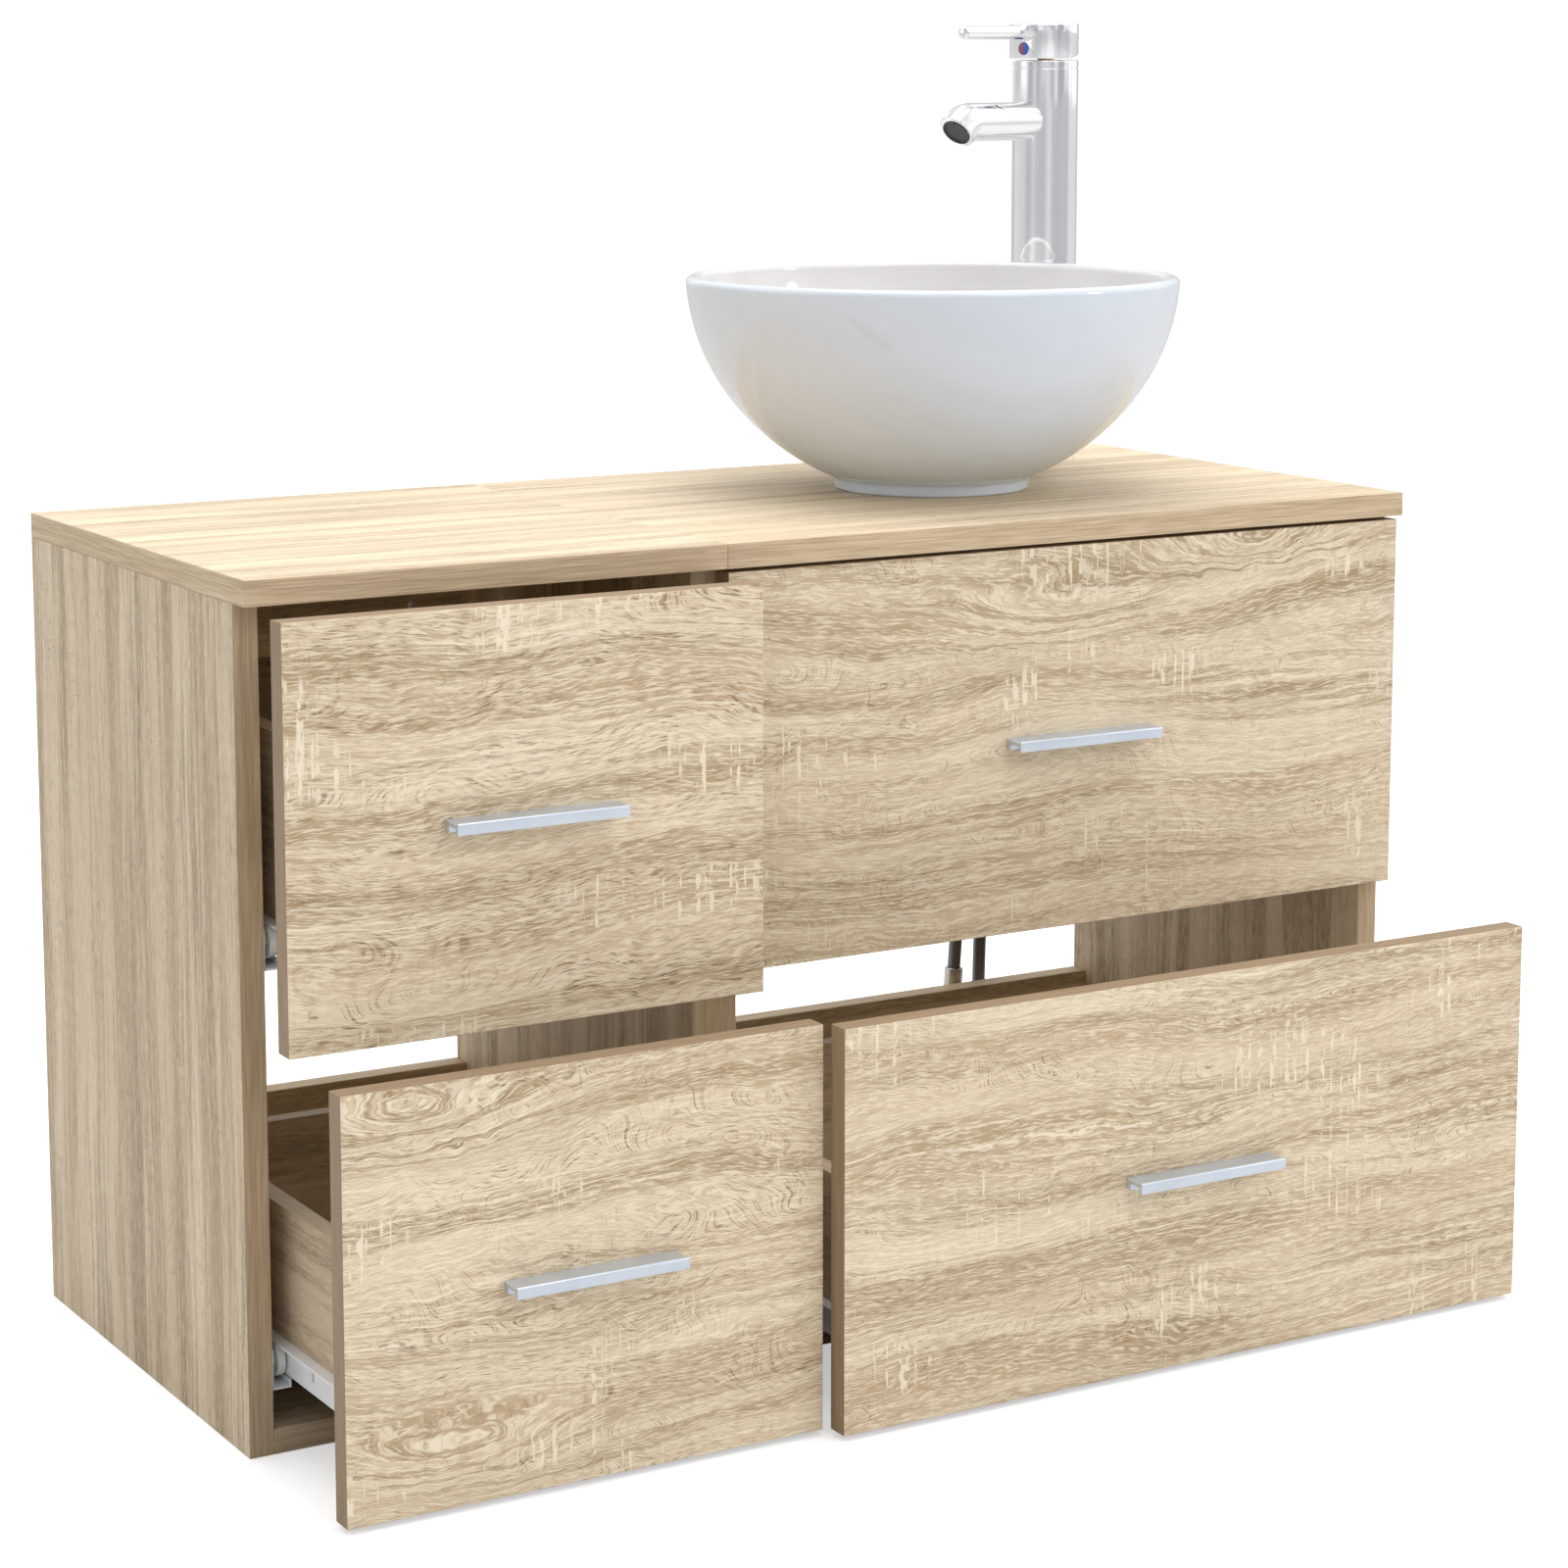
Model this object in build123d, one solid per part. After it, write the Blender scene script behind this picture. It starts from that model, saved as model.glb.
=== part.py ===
from build123d import *
import math
import os

# A bathroom vanity: two chipboard cabinets side by side with three drawers and a false front,
# a round vessel basin and a tall single-lever tap. All lengths are in mm.
# X runs along the front from left to right, Y runs to the wall, Z is up.
# The origin is the centre of the cabinets' footprint, at their underside.

# Cabinets
total_width = 800.0
left_cabinet_width = 300.0
carcass_depth = 326.0
total_height = 502.0
board = 15.0
top_overhang = 18.0
board_edge_round = 0.6
lower_rail_height = 102.0
upper_rail_height = 136.0

# Fronts
front_height = 238.5
lower_front_bottom = 3.5
upper_front_bottom = 246.0
front_side_gap = 2.2
front_shut_gap = 0.5

# Drawers: the opening is how far each one is pulled out at rest
drawer_board = 12.0
drawer_length = 300.0
drawer_side_gap = 12.5
drawer_side_bottom = 40.7
low_side_height = 95.8
tall_side_height = 125.3
base_thickness = 3.0
base_height = 50.0
groove_depth = 6.0
left_upper_opening = 47.5
left_lower_opening = 115.0
right_lower_opening = 131.0

# Handles
handle_length = 106.0
handle_depth = 15.5
handle_height = 6.6
handle_hole_spacing = 96.0
handle_screw_radius = 2.0

# Roller runners, measured outwards from the drawer's side and upwards from the front's lower edge
runner_sheet = 1.2
roller_radius = 10.0
roller_width = 4.8
roller_offset = 2.2
roller_bore_radius = 2.55
roller_axle_radius = 2.5
front_roller_height = 47.6
rear_roller_height = 45.0
roller_inset = 14.0
cabinet_roller_inset = 15.0
runner_top = 59.0
runner_flange_width = 7.2
runner_slot_height = (46.5, 52.0)
runner_slot_places = (85.0, 165.0, 250.0)
channel_top = 57.2
channel_lip_top = 38.5
channel_inner_face = 0.6
channel_roof_from = 3.0
axle_collar_radius = 4.5
axle_head_radius = 3.6
axle_head_thickness = 0.5
roller_end_gap = 0.2

# Basin and waste
basin_x = 154.0
basin_y = -1.0
basin_radius = 160.0
basin_height = 138.0
foot_radius = 63.5
waste_hole_radius = 22.5
waste_tail_radius = 20.9
waste_bore_radius = 17.0
plug_travel = 8.0

# Bottle trap
trap_radius = 31.0
trap_pipe_radius = 16.0
trap_outlet_height = 320.0

# Tap
tap_x = 311.7
tap_y = 103.4
tap_radius = 22.6
tap_body_height = 274.8
tap_cap_bottom = 276.0
tap_cap_top = 299.4
tap_direction = 197.0
tap_hole_radius = 17.5
spout_radius = 13.0
spout_height = 233.6
spout_straight = 81.5
spout_bend_radius = 15.0
spout_bend_angle = 42.0
spout_end = 4.0
lever_radius = 4.7
lever_height = 293.4
lever_reach = 89.3
lever_tilt = 13.0
lever_pivot_height = 279.5
cap_nose_reach = 24.0

# Braided hoses
hose_radius = 4.75

half_width = total_width / 2
front_y = -carcass_depth / 2
back_y = carcass_depth / 2
seam_x = -half_width + left_cabinet_width
top_z = total_height
under_top = total_height - board

os.makedirs("parts", exist_ok=True)


def block(x0, x1, y0, y1, z0, z1):
    return Pos((x0 + x1) / 2, (y0 + y1) / 2, (z0 + z1) / 2) * Box(x1 - x0, y1 - y0, z1 - z0)


def board_block(x0, x1, y0, y1, z0, z1):
    # a board with its long edges just broken, as edge banding leaves them
    return fillet(block(x0, x1, y0, y1, z0, z1).edges(), board_edge_round)


def rod(radius, length, start, direction):
    return Plane(origin=start, z_dir=direction) * Cylinder(
        radius, length, align=(Align.CENTER, Align.CENTER, Align.MIN)
    )


def ring(outer, inner, length, start, direction):
    return rod(outer, length, start, direction) - rod(inner, length, start, direction)


def save(node, *solids):
    shape = solids[0] if len(solids) == 1 else Compound(children=list(solids))
    shape.label = node
    export_step(shape, "parts/" + node + ".step")


def solid_of(shape):
    found = shape.solids()
    return found[0] if len(found) == 1 else Compound(children=list(found))


# Cabinets


def cabinet(name, x0, x1, outer_name, inner_name, inner_first, top_cuts):
    left, right = (inner_name, outer_name) if inner_first else (outer_name, inner_name)
    sides = {
        left: board_block(x0, x0 + board, front_y, back_y, 0, under_top),
        right: board_block(x1 - board, x1, front_y, back_y, 0, under_top),
    }
    for node, side in sides.items():
        save(node, solid_of(side - link_holes()))
    top = board_block(x0, x1, front_y - top_overhang, back_y, under_top, top_z)
    for cut in top_cuts:
        top = top - cut
    save(name + "_top", solid_of(top))
    bottom = board_block(x0 + board, x1 - board, front_y, back_y, 0, board)
    save(name + "_bottom", bottom)
    rail_front = back_y - board
    lower = board_block(
        x0 + board, x1 - board, rail_front, back_y, board, board + lower_rail_height
    )
    upper = board_block(
        x0 + board, x1 - board, rail_front, back_y, under_top - upper_rail_height, under_top
    )
    for hole in wall_holes(x0, x1):
        upper = upper - hole
    save(name + "_back_rails", lower, solid_of(upper))


wall_hole_radius = 3.0
wall_hole_drop = 60.0
wall_hole_inset = 50.0


def wall_holes(x0, x1):
    z = under_top - wall_hole_drop
    for x in (x0 + wall_hole_inset, x1 - wall_hole_inset):
        yield rod(wall_hole_radius, 4 * board, (x, back_y - 2 * board, z), (0, 1, 0))


# The two cabinets are bolted together through their inner sides
link_radius = 3.0
link_head_radius = 7.0
link_head_height = 2.5
link_spots = ((-120.0, 100.0), (60.0, 100.0), (-120.0, 350.0), (60.0, 350.0))


def link_holes():
    holes = [
        rod(link_radius + 0.1, 4 * board, (seam_x - 2 * board, y, z), (1, 0, 0))
        for y, z in link_spots
    ]
    return Compound(children=holes)


def link_screws():
    for y, z in link_spots:
        shank = rod(link_radius, 2 * board, (seam_x - board, y, z), (1, 0, 0))
        for x, way in ((seam_x - board, -1), (seam_x + board, 1)):
            head = rod(link_head_radius, link_head_height, (x, y, z), (way, 0, 0))
            shank = shank + fillet(head.edges().group_by(Axis.X)[0 if way < 0 else -1], 1.2)
        yield solid_of(shank)


tap_hole = rod(tap_hole_radius, 3 * board, (tap_x, tap_y, under_top - board), (0, 0, 1))
waste_hole = rod(waste_hole_radius, 3 * board, (basin_x, basin_y, under_top - board), (0, 0, 1))
cabinet("left", -half_width, seam_x, "left_outer_side", "left_inner_side", False, [])
cabinet(
    "right", seam_x, half_width, "right_outer_side", "right_inner_side", True, [tap_hole, waste_hole]
)
save("cabinet_link_screws", *link_screws())


# Handles and fronts


def handle(x, z, face_y):
    # an extruded hook: screw flange, grooved web and a finger lip that hangs in front
    half = handle_height / 2
    flange = 4.2
    web_under = 0.4
    lip = 2.9
    corner = 1.2
    lip_top = 2.4
    groove_from = 3.2
    groove_drop = 1.4
    back_drop = 0.2
    back_land = 1.5
    y0 = face_y
    y1 = face_y - handle_depth
    x0 = x - handle_length / 2
    points = [
        (y1 + corner, z + half),
        (y1 + lip_top, z + half),
        (y1 + groove_from, z + half - groove_drop),
        (y0 - back_land, z + half - back_drop),
        (y0, z + half),
        (y0, z - half),
        (y0 - flange, z - half),
        (y0 - flange, z + web_under),
        (y1 + lip, z + web_under),
        (y1 + lip, z - half),
        (y1, z - half),
        (y1, z + half - corner),
    ]
    nose = TangentArc(points[-1], points[0], tangent=(0, 1))
    outline = make_face(Plane.XY * Wire([*Polyline(*points).edges(), nose]))
    plane = Plane(origin=(x0, 0, 0), x_dir=(0, 1, 0), z_dir=(1, 0, 0))
    bar = extrude(plane * outline, handle_length)
    screw_depth = flange - 0.7
    for hx in (x - handle_hole_spacing / 2, x + handle_hole_spacing / 2):
        bar = bar - rod(handle_screw_radius, screw_depth, (hx, face_y, z), (0, -1, 0))
    return solid_of(bar)


def handle_screws(x, z, face_y):
    head_height = 2.2
    head_radius = 4.2
    thread = board + 3.4
    for hx in (x - handle_hole_spacing / 2, x + handle_hole_spacing / 2):
        inside = (hx, face_y + board, z)
        shank = rod(handle_screw_radius, thread, inside, (0, -1, 0))
        head = rod(head_radius, head_height, inside, (0, 1, 0))
        yield solid_of(shank + fillet(head.edges().group_by(Axis.Y)[-1], 0.9))


def front_panel(x0, x1, z0, back):
    middle = (x0 + x1) / 2
    z = z0 + front_height / 2
    panel = board_block(
        x0 + front_side_gap, x1 - front_side_gap, back - board, back, z0, z0 + front_height
    )
    for hx in (middle - handle_hole_spacing / 2, middle + handle_hole_spacing / 2):
        panel = panel - rod(handle_screw_radius + 0.2, 2 * board, (hx, back + 5, z), (0, -1, 0))
    return panel


false_middle = (seam_x + half_width) / 2
false_front_face = front_y - board
false_handle_z = upper_front_bottom + front_height / 2
save("false_front", solid_of(front_panel(seam_x, half_width, upper_front_bottom, front_y)))
save("false_front_handle", handle(false_middle, false_handle_z, false_front_face))


def angle_bracket(x, way, z):
    # steel angle between a cabinet side and the back of the false front
    leg = 22.0
    width = 16.0
    sheet = 1.5
    screw_out = 0.6 * leg
    head_radius = 3.5
    head_height = 1.6
    x_out = x + way * leg
    x_sheet = x + way * sheet
    on_side = block(min(x, x_sheet), max(x, x_sheet), front_y, front_y + leg, z, z + width)
    on_front = block(min(x, x_out), max(x, x_out), front_y, front_y + sheet, z, z + width)
    angle = on_side + on_front
    screw_z = z + width / 2
    for start, direction in (
        ((x_sheet, front_y + screw_out, screw_z), (way, 0, 0)),
        ((x + way * screw_out, front_y + sheet, screw_z), (0, 1, 0)),
    ):
        angle = angle + rod(head_radius, head_height, start, direction)
    return solid_of(angle)


bracket_low = 30.0
bracket_high = 188.5
false_fixings = list(handle_screws(false_middle, false_handle_z, false_front_face))
for side_x, inward in ((seam_x + board, 1), (half_width - board, -1)):
    for low_z in (upper_front_bottom + bracket_low, upper_front_bottom + bracket_high):
        false_fixings.append(angle_bracket(side_x, inward, low_z))
save("false_front_fixings", *false_fixings)


# Runners: s is the distance outwards from the drawer side, way is the outward direction in X


def strip(x_side, way, s0, s1, y0, y1, z0, z1):
    xs = sorted((x_side + way * s0, x_side + way * s1))
    return block(xs[0], xs[1], y0, y1, z0, z1)


def drawer_runner(x_side, way, z0, back):
    y0 = back
    y1 = back + drawer_length
    foot_z = z0 + drawer_side_bottom - runner_sheet
    top = z0 + runner_top
    web = strip(x_side, way, 0, runner_sheet, y0, y1, foot_z, top)
    foot = strip(x_side, way, -drawer_board, 0, y0, y1, foot_z, foot_z + runner_sheet)
    flange = strip(x_side, way, 0, runner_flange_width, y0, y1, top - runner_sheet, top)
    member = web + foot + flange
    slot_half_width = 1.6
    slot_low, slot_high = runner_slot_height
    for place in runner_slot_places:
        slot_y = y0 + place
        member = member - strip(
            x_side,
            way,
            -runner_sheet,
            2 * runner_sheet,
            slot_y - slot_half_width,
            slot_y + slot_half_width,
            z0 + slot_low,
            z0 + slot_high,
        )
    axle_y = y1 - roller_inset
    axle_z = z0 + rear_roller_height
    roller_far = roller_offset + roller_width + roller_end_gap
    return solid_of(
        member
        + axle(
            x_side,
            way,
            runner_sheet,
            roller_offset - roller_end_gap,
            roller_far,
            roller_far + axle_head_thickness,
            axle_y,
            axle_z,
        )
    )


def axle(x_side, way, collar_from, collar_to, head_from, head_to, y, z):
    # collar next to the runner's sheet, plain axle, then a thin rivet head
    def piece(radius, s0, s1):
        return rod(radius, abs(s1 - s0), (x_side + way * min(s0, s1), y, z), (way, 0, 0))

    collar = piece(axle_collar_radius, collar_from, collar_to)
    pin = piece(roller_axle_radius, collar_from, head_to)
    return collar + pin + piece(axle_head_radius, head_from, head_to)


def cabinet_runner(x_side, way, z0):
    # fixed channel: the rear roller runs on its lower flange
    y0 = front_y + 2
    y1 = y0 + drawer_length
    track = z0 + rear_roller_height - roller_radius - 0.3
    track_under = track - runner_sheet
    web_out = drawer_side_gap
    web_in = drawer_side_gap - runner_sheet
    lip_out = channel_inner_face + runner_sheet
    roof_z = z0 + channel_top
    roof_start = y0 + 26
    web = strip(x_side, way, web_in, web_out, y0, y1, track_under, roof_z)
    floor = strip(x_side, way, channel_inner_face, web_out, y0, y1, track_under, track)
    lip = strip(x_side, way, channel_inner_face, lip_out, y0, y1, track_under, z0 + channel_lip_top)
    roof = strip(x_side, way, channel_roof_from, web_out, roof_start, y1, roof_z - runner_sheet, roof_z)
    channel = web + floor + lip + roof
    axle_y = front_y + cabinet_roller_inset
    axle_z = z0 + front_roller_height
    roller_near = roller_offset - roller_end_gap
    pin = axle(
        x_side,
        way,
        web_in,
        roller_offset + roller_width + roller_end_gap,
        roller_near,
        roller_near - axle_head_thickness,
        axle_y,
        axle_z,
    )
    return solid_of(channel + pin)


def axle_pair(x_left, x_right, y, z):
    # one roller on each side of a drawer, on the same axis
    rollers = []
    for x_side, way in ((x_left, -1), (x_right, 1)):
        start = (x_side + way * roller_offset, y, z)
        wheel = rod(roller_radius, roller_width, start, (way, 0, 0))
        wheel = fillet(wheel.edges(), 0.6)
        wheel = wheel - rod(roller_bore_radius, roller_width, start, (way, 0, 0))
        rollers.append(solid_of(wheel))
    return rollers


def drawer(name, x0, x1, z0, side_height, opening):
    back = front_y - front_shut_gap - opening
    end = back + drawer_length
    x_left = x0 + board + drawer_side_gap
    x_right = x1 - board - drawer_side_gap
    low = z0 + drawer_side_bottom
    high = low + side_height
    groove_z = z0 + base_height
    groove = block(
        x_left + drawer_board - groove_depth,
        x_right - drawer_board + groove_depth,
        back - groove_depth,
        end - drawer_board + groove_depth,
        groove_z,
        groove_z + base_thickness + 0.2,
    )
    save(name + "_front", solid_of(front_panel(x0, x1, z0, back) - groove))
    left = board_block(x_left, x_left + drawer_board, back, end, low, high) - groove
    right = board_block(x_right - drawer_board, x_right, back, end, low, high) - groove
    save(name + "_sides", solid_of(left), solid_of(right))
    rear = board_block(
        x_left + drawer_board, x_right - drawer_board, end - drawer_board, end, low, high
    )
    save(name + "_back", solid_of(rear - groove))
    slack = 0.2
    base = block(
        x_left + drawer_board - groove_depth + slack,
        x_right - drawer_board + groove_depth - slack,
        back - groove_depth + slack,
        end - drawer_board + groove_depth - slack,
        groove_z,
        groove_z + base_thickness,
    )
    save(name + "_base", base)
    middle = (x0 + x1) / 2
    handle_z = z0 + front_height / 2
    save(name + "_handle", handle(middle, handle_z, back - board))
    save(name + "_handle_screws", *handle_screws(middle, handle_z, back - board))
    save(
        name + "_runners",
        drawer_runner(x_left, -1, z0, back),
        drawer_runner(x_right, 1, z0, back),
    )
    save(
        name + "_rear_rollers",
        *axle_pair(x_left, x_right, end - roller_inset, z0 + rear_roller_height),
    )
    save(
        name + "_front_rollers",
        *axle_pair(x_left, x_right, front_y + cabinet_roller_inset, z0 + front_roller_height),
    )
    return [cabinet_runner(x_left, -1, z0), cabinet_runner(x_right, 1, z0)]


fixed_runners = []
for name, x0, x1, z0, side_height, opening in (
    ("left_upper", -half_width, seam_x, upper_front_bottom, tall_side_height, left_upper_opening),
    ("left_lower", -half_width, seam_x, lower_front_bottom, low_side_height, left_lower_opening),
    ("right_lower", seam_x, half_width, lower_front_bottom, low_side_height, right_lower_opening),
):
    fixed_runners += drawer(name, x0, x1, z0, side_height, opening)
save("cabinet_runners", *fixed_runners)


# Basin: heights are above the counter


def turned(points, x, y, z):
    # revolves a closed outline of (radius, height) about the upright axis through x, y
    outline = make_face(Wire(points))
    upright = Plane(origin=(x, y, z), x_dir=(1, 0, 0), z_dir=(0, -1, 0))
    return revolve(upright * outline, Axis((x, y, z), (0, 0, 1)), 360)


waste_up = (0, 0, 1)
through = 200.0  # longer than anything that it cuts
waste_seat_height = 15.0


def basin():
    lip = 4.4
    wall = 9.0
    foot_height = 8.0
    foot_edge = 1.5
    sump_height = 18.5
    rim = basin_height
    outer = Spline(
        (foot_radius + foot_edge, foot_height),
        (97.0, 26.0),
        (130.5, 56.0),
        (150.5, 95.0),
        (basin_radius, rim - lip),
        tangents=((1, 0.28), (0.08, 1)),
    )
    inner = Spline(
        (basin_radius - 2 * lip, rim - lip),
        (150.5 - wall, 96.0),
        (130.5 - wall, 62.0),
        (88.0, 31.0),
        (40.0, 19.0),
        tangents=((-0.08, -1), (-1, -0.06)),
    )
    rim_arc = ThreePointArc(outer @ 1, (basin_radius - lip, rim), inner @ 0)
    seat_outer = waste_hole_radius + 10.0
    seat_inner = seat_outer - 2.0
    ends = Polyline(
        inner @ 1,
        (seat_outer, sump_height),
        (seat_inner, waste_seat_height),
        (waste_hole_radius, waste_seat_height),
        (waste_hole_radius, 0),
        (foot_radius - foot_edge, 0),
        (foot_radius, foot_edge),
        outer @ 0,
    )
    outline = [*outer.edges(), *rim_arc.edges(), *inner.edges(), *ends.edges()]
    return turned(outline, basin_x, basin_y, top_z)


save("basin_bowl", solid_of(basin()))


# Waste: flange with a tail that passes through the counter, a nut below, and a push plug
seat_z = top_z + waste_seat_height
tail_bottom = under_top - 36.0
flange_radius = waste_hole_radius + 7.5
flange_height = 3.0
stem_radius = 5.0
thread_gap = 0.1


def waste_flange():
    hub_drop = 34.0
    hub_height = 22.0
    hub_wall = 3.0
    arm_height = 8.0
    arm = waste_bore_radius + 0.5
    thin = 1.2
    sliding_gap = 0.06
    at = (basin_x, basin_y)
    tail = rod(waste_tail_radius, seat_z - tail_bottom, (*at, tail_bottom), waste_up)
    dish = rod(flange_radius, flange_height, (*at, seat_z), waste_up)
    dish = fillet(dish.edges().group_by(Axis.Z)[-1], 1.4)
    body = tail + dish - rod(waste_bore_radius, through, (*at, tail_bottom - 1), waste_up)
    hub_z = seat_z - hub_drop
    arm_top = hub_z + arm_height
    hub = rod(stem_radius + hub_wall, hub_height, (*at, hub_z), waste_up)
    arms = block(basin_x - arm, basin_x + arm, basin_y - thin, basin_y + thin, hub_z, arm_top)
    arms = arms + block(basin_x - thin, basin_x + thin, basin_y - arm, basin_y + arm, hub_z, arm_top)
    spider = hub + arms - rod(stem_radius + sliding_gap, through, (*at, hub_z - 1), waste_up)
    return solid_of(body + spider)


def waste_plug():
    # shown raised: a round-edged cap on a stem
    cap_radius = 31.0
    cap_height = 5.0
    stem_length = 40.0
    shut_gap = 0.4
    cap_z = seat_z + flange_height + plug_travel + shut_gap
    cap = rod(cap_radius, cap_height, (basin_x, basin_y, cap_z), waste_up)
    cap = fillet(cap.edges().group_by(Axis.Z)[-1], 3.6)
    cap = fillet(cap.edges().group_by(Axis.Z)[0], 0.6)
    stem = rod(stem_radius, stem_length, (basin_x, basin_y, cap_z - stem_length), waste_up)
    return solid_of(cap + stem)


def waste_nut():
    washer_radius = 32.0
    washer_height = 2.0
    nut_radius = 29.0
    nut_sides = 8
    nut_height = 9.0
    bore = waste_tail_radius + thread_gap
    washer_z = under_top - washer_height
    nut_z = washer_z - nut_height
    washer = ring(washer_radius, bore, washer_height, (basin_x, basin_y, washer_z), waste_up)
    nut = extrude(Pos(basin_x, basin_y, nut_z) * RegularPolygon(nut_radius, nut_sides), nut_height)
    nut = nut - rod(bore, through, (basin_x, basin_y, nut_z - 1), waste_up)
    return solid_of(washer), solid_of(nut)


save("waste_flange", waste_flange())
save("waste_plug", waste_plug())
save("waste_nut", *waste_nut())


# Bottle trap, hung from the waste tail
trap_top = tail_bottom + 9.0
trap_neck_top = tail_bottom - 0.4
bottle_top = trap_outlet_height + 28.0
bottle_bottom = trap_outlet_height - 42.0
trap_wall = 2.4
pipe_wall = 2.0
pipe_from = 26.5
trap_at = (basin_x, basin_y)
wall_way = (0, 1, 0)


def trap_body():
    collar_radius = 27.0
    collar_skirt = 12.0
    shell = 4.0
    branch_length = 50.0
    dip_radius = 13.0
    dip_bore = 11.0
    dip_rise = 14.0
    bottle_height = bottle_top - bottle_bottom
    collar_height = trap_top - trap_neck_top + collar_skirt
    collar = rod(collar_radius, collar_height, (*trap_at, trap_neck_top - collar_skirt), waste_up)
    collar = fillet(collar.edges().group_by(Axis.Z)[-1], 1.5)
    neck = rod(
        trap_pipe_radius + 2.5, trap_neck_top - bottle_top, (*trap_at, bottle_top - shell), waste_up
    )
    bottle = rod(trap_radius, bottle_height, (*trap_at, bottle_bottom), waste_up)
    bottle = fillet(bottle.edges().group_by(Axis.Z)[-1], 8.0)
    branch = rod(
        trap_pipe_radius + 5.5, branch_length, (*trap_at, trap_outlet_height), wall_way
    )
    body = collar + neck + bottle + branch
    socket = rod(waste_tail_radius + thread_gap, through, (*trap_at, trap_neck_top), waste_up)
    throat = rod(waste_bore_radius - pipe_wall, through, (*trap_at, bottle_top + 1), waste_up)
    inside_height = bottle_height - 2 * trap_wall - shell
    inside = rod(trap_radius - trap_wall, inside_height, (*trap_at, bottle_bottom + trap_wall), waste_up)
    pipe_seat = (basin_x, basin_y + pipe_from - 0.5, trap_outlet_height)
    outlet_hole = (basin_x, basin_y + pipe_from - 6.5, trap_outlet_height)
    body = body - socket - throat - inside
    body = body - rod(trap_pipe_radius + thread_gap, branch_length, pipe_seat, wall_way)
    body = body - rod(trap_pipe_radius - pipe_wall, trap_pipe_radius, outlet_hole, wall_way)
    dip = rod(dip_radius, bottle_height - dip_rise - shell, (*trap_at, bottle_bottom + dip_rise), waste_up)
    dip_hole = rod(dip_bore, bottle_height, (*trap_at, bottle_bottom + dip_rise - 1), waste_up)
    return solid_of(body + dip - dip_hole)


def trap_cup():
    # ribbed cleaning cup closed against the bottle's underside
    height = 26.0
    floor = 4.0
    ribs = 12
    rib_radius = 1.8
    rib_bottom = 9.0
    rib_reach = trap_radius + 2.6
    cup_z = bottle_bottom - height
    cup = rod(trap_radius + 2, height, (*trap_at, cup_z), waste_up)
    cup = fillet(cup.edges().group_by(Axis.Z)[0], 7.0)
    for step in range(ribs):
        angle = 2 * math.pi * step / ribs
        x = basin_x + rib_reach * math.cos(angle)
        y = basin_y + rib_reach * math.sin(angle)
        cup = cup + rod(rib_radius, height - rib_bottom, (x, y, cup_z + rib_bottom), waste_up)
    hollow = rod(trap_radius - trap_wall, height - floor, (*trap_at, cup_z + floor), waste_up)
    return solid_of(cup - hollow)


def trap_outlet():
    # union nut and the pipe that goes back to the wall
    nut_radius = 25.0
    nut_length = 12.0
    nut_start = (basin_x, basin_y + 50.2, trap_outlet_height)
    nut = ring(nut_radius, trap_pipe_radius - 0.5, nut_length, nut_start, wall_way)
    start = (basin_x, basin_y + pipe_from, trap_outlet_height)
    pipe = rod(trap_pipe_radius, back_y - (basin_y + pipe_from), start, wall_way)
    return solid_of(nut + pipe - rod(trap_pipe_radius - pipe_wall, through, start, wall_way))


save("trap_body", trap_body())
save("trap_cup", trap_cup())
save("trap_outlet", trap_outlet())


# Tap: heights are above the counter, distances are from its upright axis
turn = math.radians(tap_direction)
ahead = Vector(math.cos(turn), math.sin(turn), 0)
across = Vector(-math.sin(turn), math.cos(turn), 0)
tap_foot = Vector(tap_x, tap_y, top_z)


def on_tap(reach, height):
    return tap_foot + ahead * reach + Vector(0, 0, height)


def spout_path():
    bend = math.radians(spout_bend_angle)
    run = on_tap(0, spout_height)
    knee = on_tap(spout_straight, spout_height)
    mid = on_tap(
        spout_straight + spout_bend_radius * math.sin(bend / 2),
        spout_height - spout_bend_radius * (1 - math.cos(bend / 2)),
    )
    last = on_tap(
        spout_straight + spout_bend_radius * math.sin(bend),
        spout_height - spout_bend_radius * (1 - math.cos(bend)),
    )
    down = ahead * math.cos(bend) - Vector(0, 0, math.sin(bend))
    return run, knee, mid, last, last + down * spout_end, down


def spout_tube(radius, tail):
    run, knee, mid, last, tip, down = spout_path()
    path = Wire([Edge.make_line(run, knee), Edge.make_three_point_arc(knee, mid, last),
                 Edge.make_line(last, tip + down * tail)])
    section = Plane(origin=run, z_dir=ahead) * Circle(radius)
    return sweep(section, path)


cartridge_bore = 18.0
cartridge_floor = 252.0
spindle_radius = 7.0
cross_pin_radius = 2.0
cross_pin_half = 15.0
spout_wall = 2.6
upright = (Align.CENTER, Align.CENTER, Align.MIN)


def tap_body():
    hollow_from = 8.0
    hollow_height = 190.0
    column_wall = 2.0
    tube = rod(tap_radius, tap_body_height, on_tap(0, 0), waste_up)
    tube = fillet(tube.edges().group_by(Axis.Z)[-1], 1.2)
    body = tube + spout_tube(spout_radius, 0)
    body = body - rod(cartridge_bore, through, on_tap(0, cartridge_floor), waste_up)
    body = body - rod(cartridge_bore, hollow_height, on_tap(0, hollow_from), waste_up)
    column = rod(tap_radius - column_wall, 2 * through, on_tap(0, -through / 2), waste_up)
    body = body - (spout_tube(spout_radius - spout_wall, 5) - column)
    return solid_of(body)


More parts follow.
